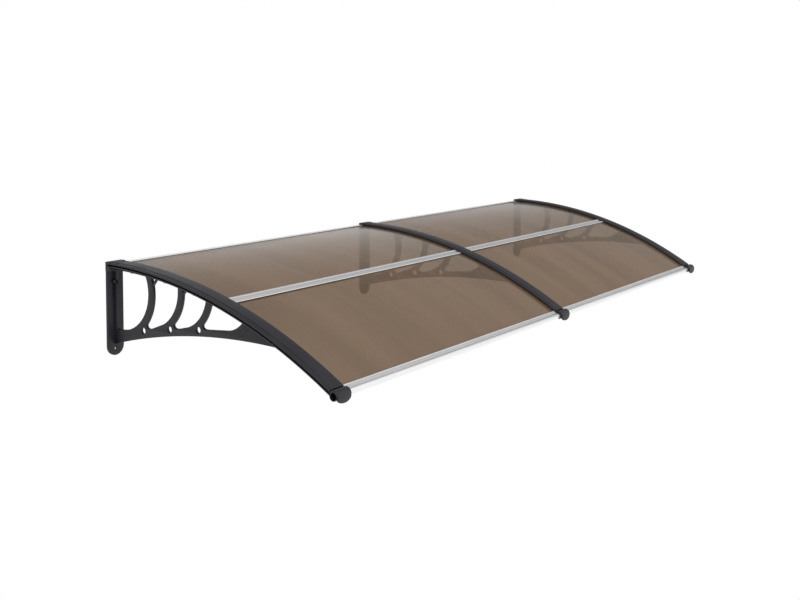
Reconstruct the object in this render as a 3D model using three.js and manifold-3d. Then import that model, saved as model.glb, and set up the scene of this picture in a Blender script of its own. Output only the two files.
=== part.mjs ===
// Polycarbonate door canopy with two bays: three moulded wall brackets carry four bronze sheets
// between an extruded front rail and a rear rail, with a joining strip across the middle of each bay.
// Millimetres, +Z up. The wall is the plane Y = 0 and the canopy reaches out towards -Y.
// The origin is on the wall face of the middle bracket, between its two screw holes.

import * as THREE from 'three';
import { mergeVertices } from 'three/addons/utils/BufferGeometryUtils.js';
import Module from 'manifold-3d';

const wasm = await Module();
wasm.setup();

// Overall size
const CANOPY_WIDTH = 2000;
const CANOPY_DEPTH = 705;
const BRACKET_TOP = 125;

// Roof arc: every curved layer is concentric with it
const ROOF_RADIUS = 1326;
const ROOF_CREST_DEPTH = -8;
const ROOF_CREST_DROP = 1.4;

// Layers of the arm, counted down from the roof radius
const COVER_EDGE = 4.7;
const SHEET_THICKNESS = 3;
const FIT_GAP = 0.3;
const FLANGE_THICKNESS = 3;
const RIB_DEPTH = 8.2;
const ARM_DEPTH = 12.2;

// Widths across a bracket
const BLOCK_WIDTH = 48;
const COVER_WIDTH = 46;
const PLATE_WIDTH = 47;
const FLANGE_WIDTH = 44;
const UPSTAND_WIDTH = 10;
const WEB_WIDTH = 8;

// Wall plate
const PLATE_HEIGHT = 226.5;
const PLATE_THICKNESS = 7;
const PLATE_RIB_DEPTH = 8;
const PLATE_RIB_LIFT = 4;
const BLOCK_DEPTH = 16;
const BLOCK_HEIGHT = 22;
const SLOT_START_DEPTH = 3.5;
const SCREW_HOLE_RADIUS = 2.75;
const COUNTERSINK_RADIUS = 5;
const UPPER_HOLE_DROP = 48;
const LOWER_HOLE_DROP = 211;
const BOSS = { width: 22, height: 11, depth: 14 };

// Lower arch of the web and the rounded end of its last opening
const ARCH_RADIUS = 1620;
const ARCH_TOP_DEPTH = 455;
const ARCH_TOP_DROP = 136;
const LAST_BOWL = { depth: 370.5, drop: 43.7, radius: 77, floorAngle: 84 };
const END_RIB_OFFSETS = [10, 19];
const END_RIB_START = -62;
const END_RIB_THICKNESS = 2.4;
const END_RIB_RISE = 0.9;

// Curved struts, from the wall forwards: the rear and front edges of each are arcs
const STRUTS = [
  {
    rear: { depth: 30.8, drop: 66.4, radius: 95.8, floorAngle: 90 },
    front: { depth: 33.3, drop: 68, radius: 111.7, footAngle: 39.7 },
    hole: { depth: 107.5, drop: 155.1 },
    fork: { drop: 18, reach: 14 },
  },
  {
    rear: { depth: 133.8, drop: 49.8, radius: 92, floorAngle: 62 },
    front: { depth: 140.2, drop: 52.2, radius: 102.9, footAngle: 46.9 },
    hole: { depth: 196.8, drop: 140.6 },
    fork: { drop: 12, reach: 11 },
  },
  {
    rear: { depth: 229, drop: 44.5, radius: 87.9, floorAngle: 72 },
    front: { depth: 225, drop: 42.2, radius: 109.1, footAngle: 43.4 },
    hole: { depth: 290.2, drop: 129.9 },
    fork: { drop: 9, reach: 9 },
  },
];
const FOOT_CORNER = { depth: -2, drop: 9.5 };
const FOOT_RUN = { depth: 13, drop: 8.7 };
const STRUT_HOLE_RADIUS = 7.6;
const FORK_THICKNESS = 5;
const FORK_LOWER_BEND = { reach: 0.4, drop: 0.3 };
const FORK_UPPER_BEND = { reach: 0.2, drop: 0.55 };

// Nose: a thin socket for the front tube, with a strap rolled over its top and front
const TUBE_RADIUS = 7.5;
const TUBE_WALL = 1.2;
const SOCKET_RADIUS = 8;
const SOCKET_WALL = 1.8;
const STRAP_THICKNESS = 4.6;
const TONGUE_DROP = 15.3;
const TONGUE_ROUND = 11;

// Cover strip
const COVER_CROWN_WIDTH = 25;
const COVER_CROWN_RISE = 1.5;
const COVER_EDGE_ROUND = 1.6;
const GRIP_RADIUS = 1.9;
const GRIP_PITCH = 7;
const GRIP_INSET = 4.2;
const GRIP_WIDTH = 42;
const GRIPS_AT_NOSE = 4;
const GRIPS_AT_WALL = 3;

// Cover screws, driven up from below through the arm
const COVER_SCREW_DEPTHS = [68, 180, 276, 366];
const COVER_SCREW_RADIUS = 1.5;
const COVER_SCREW_HOLE = 1.8;
const COVER_SCREW_HEAD_RADIUS = 3.1;
const COVER_SCREW_HEAD = 2.2;
const COVER_SCREW_CROWN_RADIUS = 2.3;
const COVER_SCREW_POINT = 1.5;
const COVER_SCREW_BITE = 3.4;

// Extruded rails and strips
const LIP_THICKNESS = 1.5;
const FRONT_LIP_LENGTH = 10;
const LIP_BEAD_WIDTH = 2.2;
const LIP_BEAD_RISE = 0.7;
const REAR_LIP_LENGTH = 14;
const REAR_RAIL_BACK = 3;
const REAR_RAIL_WALL = 2;
const REAR_RAIL_SKIRT = 12;
const JOINT_DEPTH = 365;
const JOINT_WIDTH = 25;
const JOINT_CAP = 1.3;
const JOINT_WEB = 2;
const JOINT_BEAD_WIDTH = 6;
const JOINT_BEAD_RISE = 0.8;
const JOINT_BEAD_SLOPE = 1;
const SEAL_HEIGHT = 12;

// Smoothness of arcs and round pieces
const ARC_SEGMENTS = 9;
const WEB_SEGMENTS = 6;
const SMALL_ARC_SEGMENTS = 4;
const ROUND_SEGMENTS = 16;
const SMALL_ROUND_SEGMENTS = 8;

// How far the parts of one solid run into each other, and how near points count as one
const OVERLAP = 1;
const WELD = 1e-4;

// Worked out from the driving sizes
const SPACING = (CANOPY_WIDTH - BLOCK_WIDTH) / 2;
const CENTRE = { depth: ROOF_CREST_DEPTH, height: BRACKET_TOP - ROOF_CREST_DROP - ROOF_RADIUS };
const R_COVER_UNDER = ROOF_RADIUS - COVER_EDGE;
const R_SHEET_TOP = R_COVER_UNDER - FIT_GAP;
const R_SHEET_UNDER = R_SHEET_TOP - SHEET_THICKNESS;
const R_SHEET_MID = R_SHEET_TOP - SHEET_THICKNESS / 2;
const R_FLANGE_TOP = R_SHEET_UNDER - FIT_GAP;
const R_FLANGE_UNDER = R_FLANGE_TOP - FLANGE_THICKNESS;
const R_RIB = R_FLANGE_UNDER - RIB_DEPTH;
const R_ARM = R_FLANGE_UNDER - ARM_DEPTH;
const STRAP_RADIUS = SOCKET_RADIUS + STRAP_THICKNESS;
const TUBE_DEPTH = CANOPY_DEPTH - STRAP_RADIUS;
const A_TUBE = angleAtDepth(R_SHEET_MID, TUBE_DEPTH);
const A_JOINT = angleAtDepth(R_SHEET_MID, JOINT_DEPTH);
const A_REAR = angleAtDepth(R_SHEET_MID, REAR_RAIL_BACK + REAR_RAIL_WALL);
const A_COVER_START = angleAtDepth(ROOF_RADIUS, BLOCK_DEPTH + FIT_GAP);
const A_COVER_END = A_TUBE - (STRAP_RADIUS + FIT_GAP) / R_COVER_UNDER;
const TUBE_HEIGHT = onArc(R_SHEET_MID, A_TUBE).y;
const SLOT_HALF = SHEET_THICKNESS / 2 + FIT_GAP;
const END_PLAY = 4 * FIT_GAP;
const RIB_FRONT = PLATE_THICKNESS + PLATE_RIB_DEPTH;
const LIP_RUN = SPACING - COVER_WIDTH - END_PLAY;
const REAR_RUN = SPACING - BLOCK_WIDTH - END_PLAY;

/** Angle from the vertical, about the roof axis, of the point at this radius and depth. */
function angleAtDepth(radius, depth) {
  return Math.asin((depth - CENTRE.depth) / radius);
}

/** Side-view point (depth forward, height up) on a roof circle. */
function onArc(radius, angle) {
  return new THREE.Vector2(CENTRE.depth + radius * Math.sin(angle), CENTRE.height + radius * Math.cos(angle));
}

/** Side-view point at a depth and a drop below the top of the bracket. */
function sidePoint(depth, drop) {
  return new THREE.Vector2(depth, BRACKET_TOP - drop);
}

/** Height of a roof circle over a depth. */
function heightAtDepth(radius, depth) {
  return onArc(radius, angleAtDepth(radius, depth)).y;
}

/** Adds a stretch of a roof circle to a side-view path, between two angles from the vertical. */
function addRoofArc(path, radius, fromAngle, toAngle) {
  const start = Math.PI / 2 - fromAngle;
  const end = Math.PI / 2 - toAngle;
  path.absarc(CENTRE.depth, CENTRE.height, radius, start, end, toAngle > fromAngle);
}

/** Side-view band between two roof circles and two angles. */
function roofBand(inner, outer, fromAngle, toAngle) {
  const shape = new THREE.Shape();
  addRoofArc(shape, outer, fromAngle, toAngle);
  addRoofArc(shape, inner, toAngle, fromAngle);
  shape.closePath();
  return shape;
}

/** Extrudes a side-view outline across the width, centred on x. */
function acrossWidth(shape, width, x = 0, curveSegments = ARC_SEGMENTS) {
  const geometry = new THREE.ExtrudeGeometry(shape, { depth: width, bevelEnabled: false, curveSegments });
  const forward = new THREE.Vector3(0, -1, 0);
  const up = new THREE.Vector3(0, 0, 1);
  const across = new THREE.Vector3(-1, 0, 0);
  geometry.applyMatrix4(new THREE.Matrix4().makeBasis(forward, up, across));
  geometry.translate(x + width / 2, 0, 0);
  return geometry;
}

/** Extrudes a front-view outline (x, height) forward from one depth to another. */
function alongDepth(shape, fromDepth, toDepth, curveSegments = ARC_SEGMENTS) {
  const depth = toDepth - fromDepth;
  const geometry = new THREE.ExtrudeGeometry(shape, { depth, bevelEnabled: false, curveSegments });
  geometry.rotateX(Math.PI / 2);
  geometry.translate(0, -fromDepth, 0);
  return geometry;
}

/** Round bar or cone along the depth axis, from one depth to another. */
function depthPin(nearRadius, farRadius, fromDepth, toDepth, height) {
  const length = toDepth - fromDepth;
  const geometry = new THREE.CylinderGeometry(nearRadius, farRadius, length, ROUND_SEGMENTS);
  geometry.translate(0, -(fromDepth + toDepth) / 2, height);
  return geometry;
}

/** Turns a geometry made around the Y axis so that +Y points outward along a roof radius. */
function setOnRadius(geometry, radius, angle) {
  const across = new THREE.Vector3(1, 0, 0);
  const outward = new THREE.Vector3(0, -Math.sin(angle), Math.cos(angle));
  const along = new THREE.Vector3().crossVectors(across, outward);
  const foot = onArc(radius, angle);
  const place = new THREE.Matrix4().makeBasis(across, outward, along).setPosition(0, -foot.x, foot.y);
  return geometry.applyMatrix4(place);
}

/** Round bar along a roof radius between two radii. */
function radialPin(radius, inner, outer, angle) {
  const geometry = new THREE.CylinderGeometry(radius, radius, outer - inner, SMALL_ROUND_SEGMENTS);
  geometry.translate(0, (outer - inner) / 2, 0);
  return setOnRadius(geometry, inner, angle);
}

/** Sweeps a closed section (x across, roof radius) along the roof arc as a closed solid. */
function sweepRoof(section, fromAngle, toAngle, steps) {
  const count = section.length;
  const positions = [];
  for (let step = 0; step <= steps; step += 1) {
    const angle = fromAngle + (toAngle - fromAngle) * step / steps;
    for (const point of section) {
      const side = onArc(point.y, angle);
      positions.push(point.x, -side.x, side.y);
    }
  }
  const index = [];
  for (let step = 0; step < steps; step += 1) {
    for (let i = 0; i < count; i += 1) {
      const a = step * count + i;
      const b = step * count + (i + 1) % count;
      index.push(a, b, a + count, b, b + count, a + count);
    }
  }
  const last = steps * count;
  for (const [a, b, c] of THREE.ShapeUtils.triangulateShape(section, [])) {
    index.push(a, c, b);
    index.push(last + a, last + b, last + c);
  }
  const geometry = new THREE.BufferGeometry();
  geometry.setAttribute('position', new THREE.Float32BufferAttribute(positions, 3));
  geometry.setIndex(index);
  return geometry;
}

/** Closed solid for booleans. */
function solid(geometry) {
  const bare = geometry.clone();
  bare.deleteAttribute('normal');
  bare.deleteAttribute('uv');
  const welded = mergeVertices(bare, WELD);
  return new wasm.Manifold(new wasm.Mesh({
    numProp: 3,
    vertProperties: new Float32Array(welded.attributes.position.array),
    triVerts: new Uint32Array(welded.index.array),
  }));
}

/** Union of several geometries. */
function joined(geometries) {
  return geometries.map(solid).reduce((sum, piece) => sum.add(piece));
}

/** Geometry of a boolean result. */
function geometryOf(body) {
  const mesh = body.getMesh();
  const geometry = new THREE.BufferGeometry();
  geometry.setAttribute('position', new THREE.BufferAttribute(new Float32Array(mesh.vertProperties), 3));
  geometry.setIndex(new THREE.BufferAttribute(new Uint32Array(mesh.triVerts), 1));
  geometry.computeVertexNormals();
  return geometry;
}

/** Right-hand meeting point of two side-view circles. */
function circlesMeet(centreA, radiusA, centreB, radiusB) {
  const link = new THREE.Vector2().subVectors(centreB, centreA);
  const distance = link.length();
  const along = (radiusA ** 2 - radiusB ** 2 + distance ** 2) / (2 * distance);
  const off = Math.sqrt(radiusA ** 2 - along ** 2);
  const unit = link.divideScalar(distance);
  const foot = centreA.clone().addScaledVector(unit, along);
  const normal = new THREE.Vector2(-unit.y, unit.x);
  const sign = normal.x >= 0 ? 1 : -1;
  return foot.addScaledVector(normal, sign * off);
}

const roofCentre = new THREE.Vector2(CENTRE.depth, CENTRE.height);
const archCentre = sidePoint(ARCH_TOP_DEPTH, ARCH_TOP_DROP + ARCH_RADIUS);
const bowlCentre = sidePoint(LAST_BOWL.depth, LAST_BOWL.drop);

/** Angle of a point around a centre, counter-clockwise from forward. */
function angleAround(centre, point) {
  return Math.atan2(point.y - centre.y, point.x - centre.x);
}

/** Outline of the web: forward along the lower arch and the arm, back under the flange. */
function webOutline() {
  const merge = circlesMeet(archCentre, ARCH_RADIUS, roofCentre, R_ARM);
  const rootAngle = angleAtDepth(R_FLANGE_UNDER, PLATE_THICKNESS / 2);
  const archStart = Math.acos((PLATE_THICKNESS / 2 - archCentre.x) / ARCH_RADIUS);
  const shape = new THREE.Shape();
  shape.absarc(archCentre.x, archCentre.y, ARCH_RADIUS, archStart, angleAround(archCentre, merge), true);
  addRoofArc(shape, R_ARM, angleAtDepth(R_ARM, merge.x), A_TUBE);
  addRoofArc(shape, R_FLANGE_UNDER + FLANGE_THICKNESS / 2, A_TUBE, rootAngle);
  shape.closePath();
  return shape;
}

/** Centre of an arc given by depth and drop. */
function arcCentre(arc) {
  return sidePoint(arc.depth, arc.drop);
}

/** Point where an arc of a strut, in front of its centre, meets the lower edge of the rib. */
function ribMeet(arc) {
  return circlesMeet(roofCentre, R_RIB, arcCentre(arc), arc.radius);
}

/** Opening in the web between the strut behind it and the strut or rounded end in front of it. */
function openingBetween(behind, ahead) {
  const path = new THREE.Path();
  const bowl = ahead ? ahead.rear : LAST_BOWL;
  const bowlMiddle = arcCentre(bowl);
  const bowlTop = ribMeet(bowl);
  const wallTop = new THREE.Vector2(RIB_FRONT, heightAtDepth(R_RIB, RIB_FRONT));
  const rearTop = behind ? ribMeet(behind.front) : wallTop;
  path.moveTo(rearTop.x, rearTop.y);
  addRoofArc(path, R_RIB, angleAtDepth(R_RIB, rearTop.x), angleAtDepth(R_RIB, bowlTop.x));
  const floor = -THREE.MathUtils.degToRad(bowl.floorAngle);
  path.absarc(bowlMiddle.x, bowlMiddle.y, bowl.radius, angleAround(bowlMiddle, bowlTop), floor, true);
  if (behind) {
    const { radius, footAngle } = behind.front;
    const centre = arcCentre(behind.front);
    const foot = -THREE.MathUtils.degToRad(footAngle);
    const toe = new THREE.Vector2(centre.x + radius * Math.cos(foot), centre.y + radius * Math.sin(foot));
    path.lineTo(toe.x + FOOT_RUN.depth, toe.y - FOOT_RUN.drop);
    path.quadraticCurveTo(toe.x + FOOT_CORNER.depth, toe.y - FOOT_CORNER.drop, toe.x, toe.y);
    path.absarc(centre.x, centre.y, radius, foot, angleAround(centre, rearTop), false);
  } else {
    path.lineTo(rearTop.x, path.currentPoint.y);
  }
  path.closePath();
  return path;
}

/** Web with its four openings and the round hole at the foot of each strut. */
function web() {
  const shape = webOutline();
  const between = [null, ...STRUTS, null];
  for (let i = 0; i + 1 < between.length; i += 1) {
    shape.holes.push(openingBetween(between[i], between[i + 1]));
  }
  for (const strut of STRUTS) {
    const centre = arcCentre(strut.hole);
    const hole = new THREE.Path();
    hole.absarc(centre.x, centre.y, STRUT_HOLE_RADIUS, 0, Math.PI * 2, true);
    shape.holes.push(hole);
  }
  return acrossWidth(shape, WEB_WIDTH, 0, WEB_SEGMENTS);
}

/** Small slanting branch from a strut up to the arm, leaving a three-sided gap behind it. */
function fork(strut) {
  const { drop, reach } = strut.fork;
  const centre = arcCentre(strut.front);
  const low = ribMeet(strut.front).y - drop;
  const rear = centre.x + Math.sqrt(strut.front.radius ** 2 - (low - centre.y) ** 2) - OVERLAP;
  const front = rear + reach;
  const back = front - FORK_THICKNESS;
  const under = new THREE.Vector2(rear + reach * FORK_LOWER_BEND.reach, low + drop * FORK_LOWER_BEND.drop);
  const over = new THREE.Vector2(rear + reach * FORK_UPPER_BEND.reach, low + drop * FORK_UPPER_BEND.drop);
  const shape = new THREE.Shape();
  shape.moveTo(rear, low);
  shape.quadraticCurveTo(under.x, under.y, front, heightAtDepth(R_RIB, front) + OVERLAP);
  shape.lineTo(back, heightAtDepth(R_RIB, back) + OVERLAP);
  shape.quadraticCurveTo(over.x, over.y, rear, low + FORK_THICKNESS);
  shape.closePath();
  return acrossWidth(shape, WEB_WIDTH, 0, SMALL_ARC_SEGMENTS);
}

/** Raised rib on both faces of the web, following the rounded end of the last opening. */
function endRib(offset) {
  const radius = LAST_BOWL.radius + offset;
  const meet = circlesMeet(roofCentre, R_RIB + OVERLAP, bowlCentre, radius);
  const from = THREE.MathUtils.degToRad(END_RIB_START);
  const to = angleAround(bowlCentre, meet);
  const shape = new THREE.Shape();
  shape.absarc(bowlCentre.x, bowlCentre.y, radius + END_RIB_THICKNESS / 2, from, to, false);
  shape.absarc(bowlCentre.x, bowlCentre.y, radius - END_RIB_THICKNESS / 2, to, from, true);
  shape.closePath();
  return acrossWidth(shape, WEB_WIDTH + 2 * END_RIB_RISE, 0, WEB_SEGMENTS);
}

/** Wall plate with a round lower end. */
function wallPlate() {
  const half = PLATE_WIDTH / 2;
  const shape = new THREE.Shape();
  shape.moveTo(half, BRACKET_TOP);
  shape.lineTo(-half, BRACKET_TOP);
  shape.absarc(0, BRACKET_TOP - PLATE_HEIGHT + half, half, Math.PI, Math.PI * 2, false);
  shape.closePath();
  return alongDepth(shape, 0, PLATE_THICKNESS);
}

/** Box given by width, depths and heights, centred on x = 0. */
function box(width, fromDepth, toDepth, low, high) {
  const shape = new THREE.Shape();
  shape.moveTo(fromDepth, low);
  shape.lineTo(toDepth, low);
  shape.lineTo(toDepth, high);
  shape.lineTo(fromDepth, high);
  shape.closePath();
  return acrossWidth(shape, width);
}

/** Tube socket with a strap rolled over it, whose front end hangs down as a round tongue. */
function nose() {
  const socket = new THREE.Shape();
  socket.absarc(TUBE_DEPTH, TUBE_HEIGHT, SOCKET_RADIUS + SOCKET_WALL, 0, Math.PI * 2, false);
  const strap = new THREE.Shape();
  strap.absarc(TUBE_DEPTH, TUBE_HEIGHT, STRAP_RADIUS, -A_TUBE, Math.PI - A_TUBE, false);
  strap.closePath();
  const bore = new THREE.Shape();
  bore.absarc(TUBE_DEPTH, TUBE_HEIGHT, SOCKET_RADIUS, 0, Math.PI * 2, false);
  const half = FLANGE_WIDTH / 2;
  const roundStart = TUBE_HEIGHT - TONGUE_DROP + TONGUE_ROUND;
  const tongue = new THREE.Shape();
  tongue.moveTo(half, TUBE_HEIGHT);
  tongue.lineTo(-half, TUBE_HEIGHT);
  tongue.absellipse(0, roundStart, half, TONGUE_ROUND, Math.PI, Math.PI * 2, false);
  tongue.closePath();
  const rolled = joined([
    acrossWidth(socket, FLANGE_WIDTH),
    acrossWidth(strap, FLANGE_WIDTH),
    alongDepth(tongue, CANOPY_DEPTH - STRAP_THICKNESS, CANOPY_DEPTH),
  ]);
  return rolled.subtract(solid(acrossWidth(bore, FLANGE_WIDTH + OVERLAP)));
}

/** One moulded bracket, centred on x = 0. */
function bracketBody() {
  const startAngle = angleAtDepth(R_FLANGE_TOP, PLATE_THICKNESS / 2);
  const flangeEnd = A_TUBE - (SOCKET_RADIUS + SOCKET_WALL / 2) / R_FLANGE_TOP;
  const flange = roofBand(R_FLANGE_UNDER, R_FLANGE_TOP, startAngle, flangeEnd);
  const upstand = roofBand(R_FLANGE_TOP - OVERLAP, R_SHEET_TOP, startAngle, flangeEnd);
  const socketWall = new THREE.Shape();
  socketWall.absarc(TUBE_DEPTH, TUBE_HEIGHT, SOCKET_RADIUS + OVERLAP, 0, Math.PI * 2, false);
  const slot = roofBand(R_FLANGE_TOP, R_COVER_UNDER, angleAtDepth(R_SHEET_MID, SLOT_START_DEPTH), A_JOINT);
  const archRoot = BRACKET_TOP - ARCH_TOP_DROP - (ARCH_TOP_DEPTH ** 2) / (2 * ARCH_RADIUS);
  const ribTop = BRACKET_TOP - BLOCK_HEIGHT / 2;
  const plateFace = PLATE_THICKNESS - OVERLAP;
  const upper = BRACKET_TOP - UPPER_HOLE_DROP;
  const lower = BRACKET_TOP - LOWER_HOLE_DROP;
  const boss = new THREE.Shape();
  boss.absellipse(0, upper, BOSS.width / 2, BOSS.height / 2, 0, Math.PI * 2, false);
  const block = box(BLOCK_WIDTH, 0, BLOCK_DEPTH, BRACKET_TOP - BLOCK_HEIGHT, BRACKET_TOP);
  let body = joined([block, wallPlate()]).subtract(solid(acrossWidth(slot, BLOCK_WIDTH + OVERLAP)));
  body = body.add(joined([
    box(WEB_WIDTH, plateFace, RIB_FRONT, archRoot + PLATE_RIB_LIFT, ribTop),
    alongDepth(boss, plateFace, BOSS.depth),
    acrossWidth(flange, FLANGE_WIDTH),
    acrossWidth(upstand, UPSTAND_WIDTH),
    acrossWidth(socketWall, WEB_WIDTH),
    web(),
    ...STRUTS.map(fork),
    ...END_RIB_OFFSETS.map(endRib),
  ]));
  body = body.add(nose());
  const rise = COUNTERSINK_RADIUS - SCREW_HOLE_RADIUS;
  const lowerFace = PLATE_THICKNESS + WELD;
  const holes = [
    depthPin(SCREW_HOLE_RADIUS, SCREW_HOLE_RADIUS, -OVERLAP, RIB_FRONT + OVERLAP, upper),
    depthPin(SCREW_HOLE_RADIUS, COUNTERSINK_RADIUS, BOSS.depth - rise, BOSS.depth + WELD, upper),
    depthPin(COUNTERSINK_RADIUS, COUNTERSINK_RADIUS, BOSS.depth, RIB_FRONT + OVERLAP, upper),
    depthPin(SCREW_HOLE_RADIUS, SCREW_HOLE_RADIUS, -OVERLAP, PLATE_THICKNESS + OVERLAP, lower),
    depthPin(SCREW_HOLE_RADIUS, COUNTERSINK_RADIUS, PLATE_THICKNESS - rise, lowerFace, lower),
    ...COVER_SCREW_DEPTHS.map((depth) => {
      const angle = angleAtDepth(R_RIB, depth);
      return radialPin(COVER_SCREW_HOLE, R_RIB - 2 * OVERLAP, R_SHEET_TOP + OVERLAP, angle);
    }),
  ];
  return body.subtract(joined(holes));
}

/** Section of the cover strip: a raised flat crown between two lower shoulders. */
function coverSection() {
  const half = COVER_WIDTH / 2;
  const crown = COVER_CROWN_WIDTH / 2;
  const round = COVER_EDGE_ROUND;
  const top = ROOF_RADIUS + COVER_CROWN_RISE;
  const shape = new THREE.Shape();
  shape.moveTo(-half, R_COVER_UNDER);
  shape.lineTo(half, R_COVER_UNDER);
  shape.absarc(half - round, ROOF_RADIUS - round, round, 0, Math.PI / 2, false);
  shape.lineTo(crown + COVER_CROWN_RISE / 2, ROOF_RADIUS);
  shape.lineTo(crown, top);
  shape.lineTo(-crown, top);
  shape.lineTo(-crown - COVER_CROWN_RISE / 2, ROOF_RADIUS);
  shape.absarc(-half + round, ROOF_RADIUS - round, round, Math.PI / 2, Math.PI, false);
  const points = shape.getPoints(2);
  return points.filter((point, i) => i === 0 || point.distanceTo(points[i - 1]) > WELD);
}

/** Cover strip with grip ridges across both ends and blind screw holes underneath. */
function coverBody() {
  let body = solid(sweepRoof(coverSection(), A_COVER_START, A_COVER_END, ARC_SEGMENTS * 2));
  const pitch = GRIP_PITCH / ROOF_RADIUS;
  const inset = GRIP_INSET / ROOF_RADIUS;
  const angles = [];
  for (let i = 0; i < GRIPS_AT_NOSE; i += 1) {
    angles.push(A_COVER_END - inset - pitch * i);
  }
  for (let i = 0; i < GRIPS_AT_WALL; i += 1) {
    angles.push(A_COVER_START + inset + pitch * i);
  }
  for (const angle of angles) {
    const ridge = new THREE.CylinderGeometry(GRIP_RADIUS, GRIP_RADIUS, GRIP_WIDTH, SMALL_ROUND_SEGMENTS);
    ridge.rotateZ(Math.PI / 2);
    body = body.add(solid(setOnRadius(ridge, ROOF_RADIUS, angle)));
  }
  const holes = COVER_SCREW_DEPTHS.map((depth) => {
    const angle = angleAtDepth(R_RIB, depth);
    const end = R_COVER_UNDER + COVER_SCREW_BITE + FIT_GAP;
    return radialPin(COVER_SCREW_HOLE, R_COVER_UNDER - OVERLAP, end, angle);
  });
  return body.subtract(joined(holes));
}

/** Pan-head screw standing on a roof radius under the arm. */
function coverScrew(depth, x) {
  const angle = angleAtDepth(R_RIB, depth);
  const length = R_COVER_UNDER + COVER_SCREW_BITE - (R_RIB - FIT_GAP);
  const profile = [
    new THREE.Vector2(0, 0),
    new THREE.Vector2(COVER_SCREW_CROWN_RADIUS, 0),
    new THREE.Vector2(COVER_SCREW_HEAD_RADIUS, COVER_SCREW_HEAD / 2),
    new THREE.Vector2(COVER_SCREW_HEAD_RADIUS, COVER_SCREW_HEAD),
    new THREE.Vector2(COVER_SCREW_RADIUS, COVER_SCREW_HEAD),
    new THREE.Vector2(COVER_SCREW_RADIUS, COVER_SCREW_HEAD + length - COVER_SCREW_POINT),
    new THREE.Vector2(0, COVER_SCREW_HEAD + length),
  ];
  const geometry = new THREE.LatheGeometry(profile, SMALL_ROUND_SEGMENTS);
  setOnRadius(geometry, R_RIB - FIT_GAP - COVER_SCREW_HEAD, angle);
  geometry.translate(x, 0, 0);
  return geometry;
}

/** Side-view point in a section frame: forward along the roof and outward from it. */
function sectionPoint(angle, forward, outward) {
  const point = onArc(R_SHEET_MID + outward, angle);
  return point.add(new THREE.Vector2(Math.cos(angle), -Math.sin(angle)).multiplyScalar(forward));
}

/** Side-view outline through points given in a section frame. */
function sectionShape(angle, corners) {
  return new THREE.Shape(corners.map(([forward, outward]) => sectionPoint(angle, forward, outward)));
}

/** Rectangle in a section frame. */
function sectionBar(angle, rear, front, low, high) {
  return sectionShape(angle, [[rear, low], [front, low], [front, high], [rear, high]]);
}

/** Front rail: a round tube with two lips that take the front edge of the sheets. */
function frontRail(x) {
  const tube = new THREE.Shape();
  tube.absarc(TUBE_DEPTH, TUBE_HEIGHT, TUBE_RADIUS, 0, Math.PI * 2, false);
  const bore = new THREE.Path();
  bore.absarc(TUBE_DEPTH, TUBE_HEIGHT, TUBE_RADIUS - TUBE_WALL, 0, Math.PI * 2, true);
  tube.holes.push(bore);
  const lipMiddle = A_TUBE - (TUBE_RADIUS + FRONT_LIP_LENGTH / 2) / R_SHEET_MID;
  const tip = -FRONT_LIP_LENGTH / 2;
  const outer = SLOT_HALF + LIP_THICKNESS;
  const root = FRONT_LIP_LENGTH / 2 + TUBE_RADIUS - Math.sqrt(TUBE_RADIUS ** 2 - outer ** 2) + FIT_GAP;
  const tubeLength = SPACING - WEB_WIDTH - END_PLAY;
  const beadFoot = SLOT_HALF + LIP_THICKNESS / 2;
  const upper = sectionBar(lipMiddle, tip, root, SLOT_HALF, outer);
  const lower = sectionBar(lipMiddle, tip, root, -outer, -SLOT_HALF);
  const bead = sectionBar(lipMiddle, tip, tip + LIP_BEAD_WIDTH, beadFoot, outer + LIP_BEAD_RISE);
  return joined([
    acrossWidth(tube, tubeLength, x),
    acrossWidth(upper, LIP_RUN, x),
    acrossWidth(lower, LIP_RUN, x),
    acrossWidth(bead, LIP_RUN, x),
  ]);
}

/** Rear rail: a channel for the rear edge of the sheets with a skirt down the wall side. */
function rearRail(x) {
  const outer = SLOT_HALF + LIP_THICKNESS;
  const shape = sectionShape(A_REAR, [
    [-REAR_RAIL_WALL, outer],
    [-REAR_RAIL_WALL, -REAR_RAIL_SKIRT],
    [0, -REAR_RAIL_SKIRT],
    [0, -outer],
    [REAR_LIP_LENGTH, -outer],
    [REAR_LIP_LENGTH, -SLOT_HALF],
    [0, -SLOT_HALF],
    [0, SLOT_HALF],
    [REAR_LIP_LENGTH, SLOT_HALF],
    [REAR_LIP_LENGTH, outer],
  ]);
  return acrossWidth(shape, REAR_RUN, x);
}

/** Rubber strip between the rear rail and the wall, round at top and bottom. */
function wallSeal(x) {
  const depth = REAR_RAIL_BACK - FIT_GAP * 2;
  const middle = sectionPoint(A_REAR, 0, -REAR_RAIL_SKIRT / 2 + SLOT_HALF).y;
  const straight = SEAL_HEIGHT / 2 - depth;
  const shape = new THREE.Shape();
  shape.moveTo(depth, middle + straight + depth / 2);
  shape.absarc(depth / 2, middle + straight, depth / 2, Math.PI / 2, Math.PI, false);
  shape.absarc(depth / 2, middle - straight, depth / 2, Math.PI, Math.PI * 1.5, false);
  shape.lineTo(depth, middle - straight - depth / 2);
  shape.closePath();
  return acrossWidth(shape, REAR_RUN, x, SMALL_ARC_SEGMENTS);
}

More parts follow.
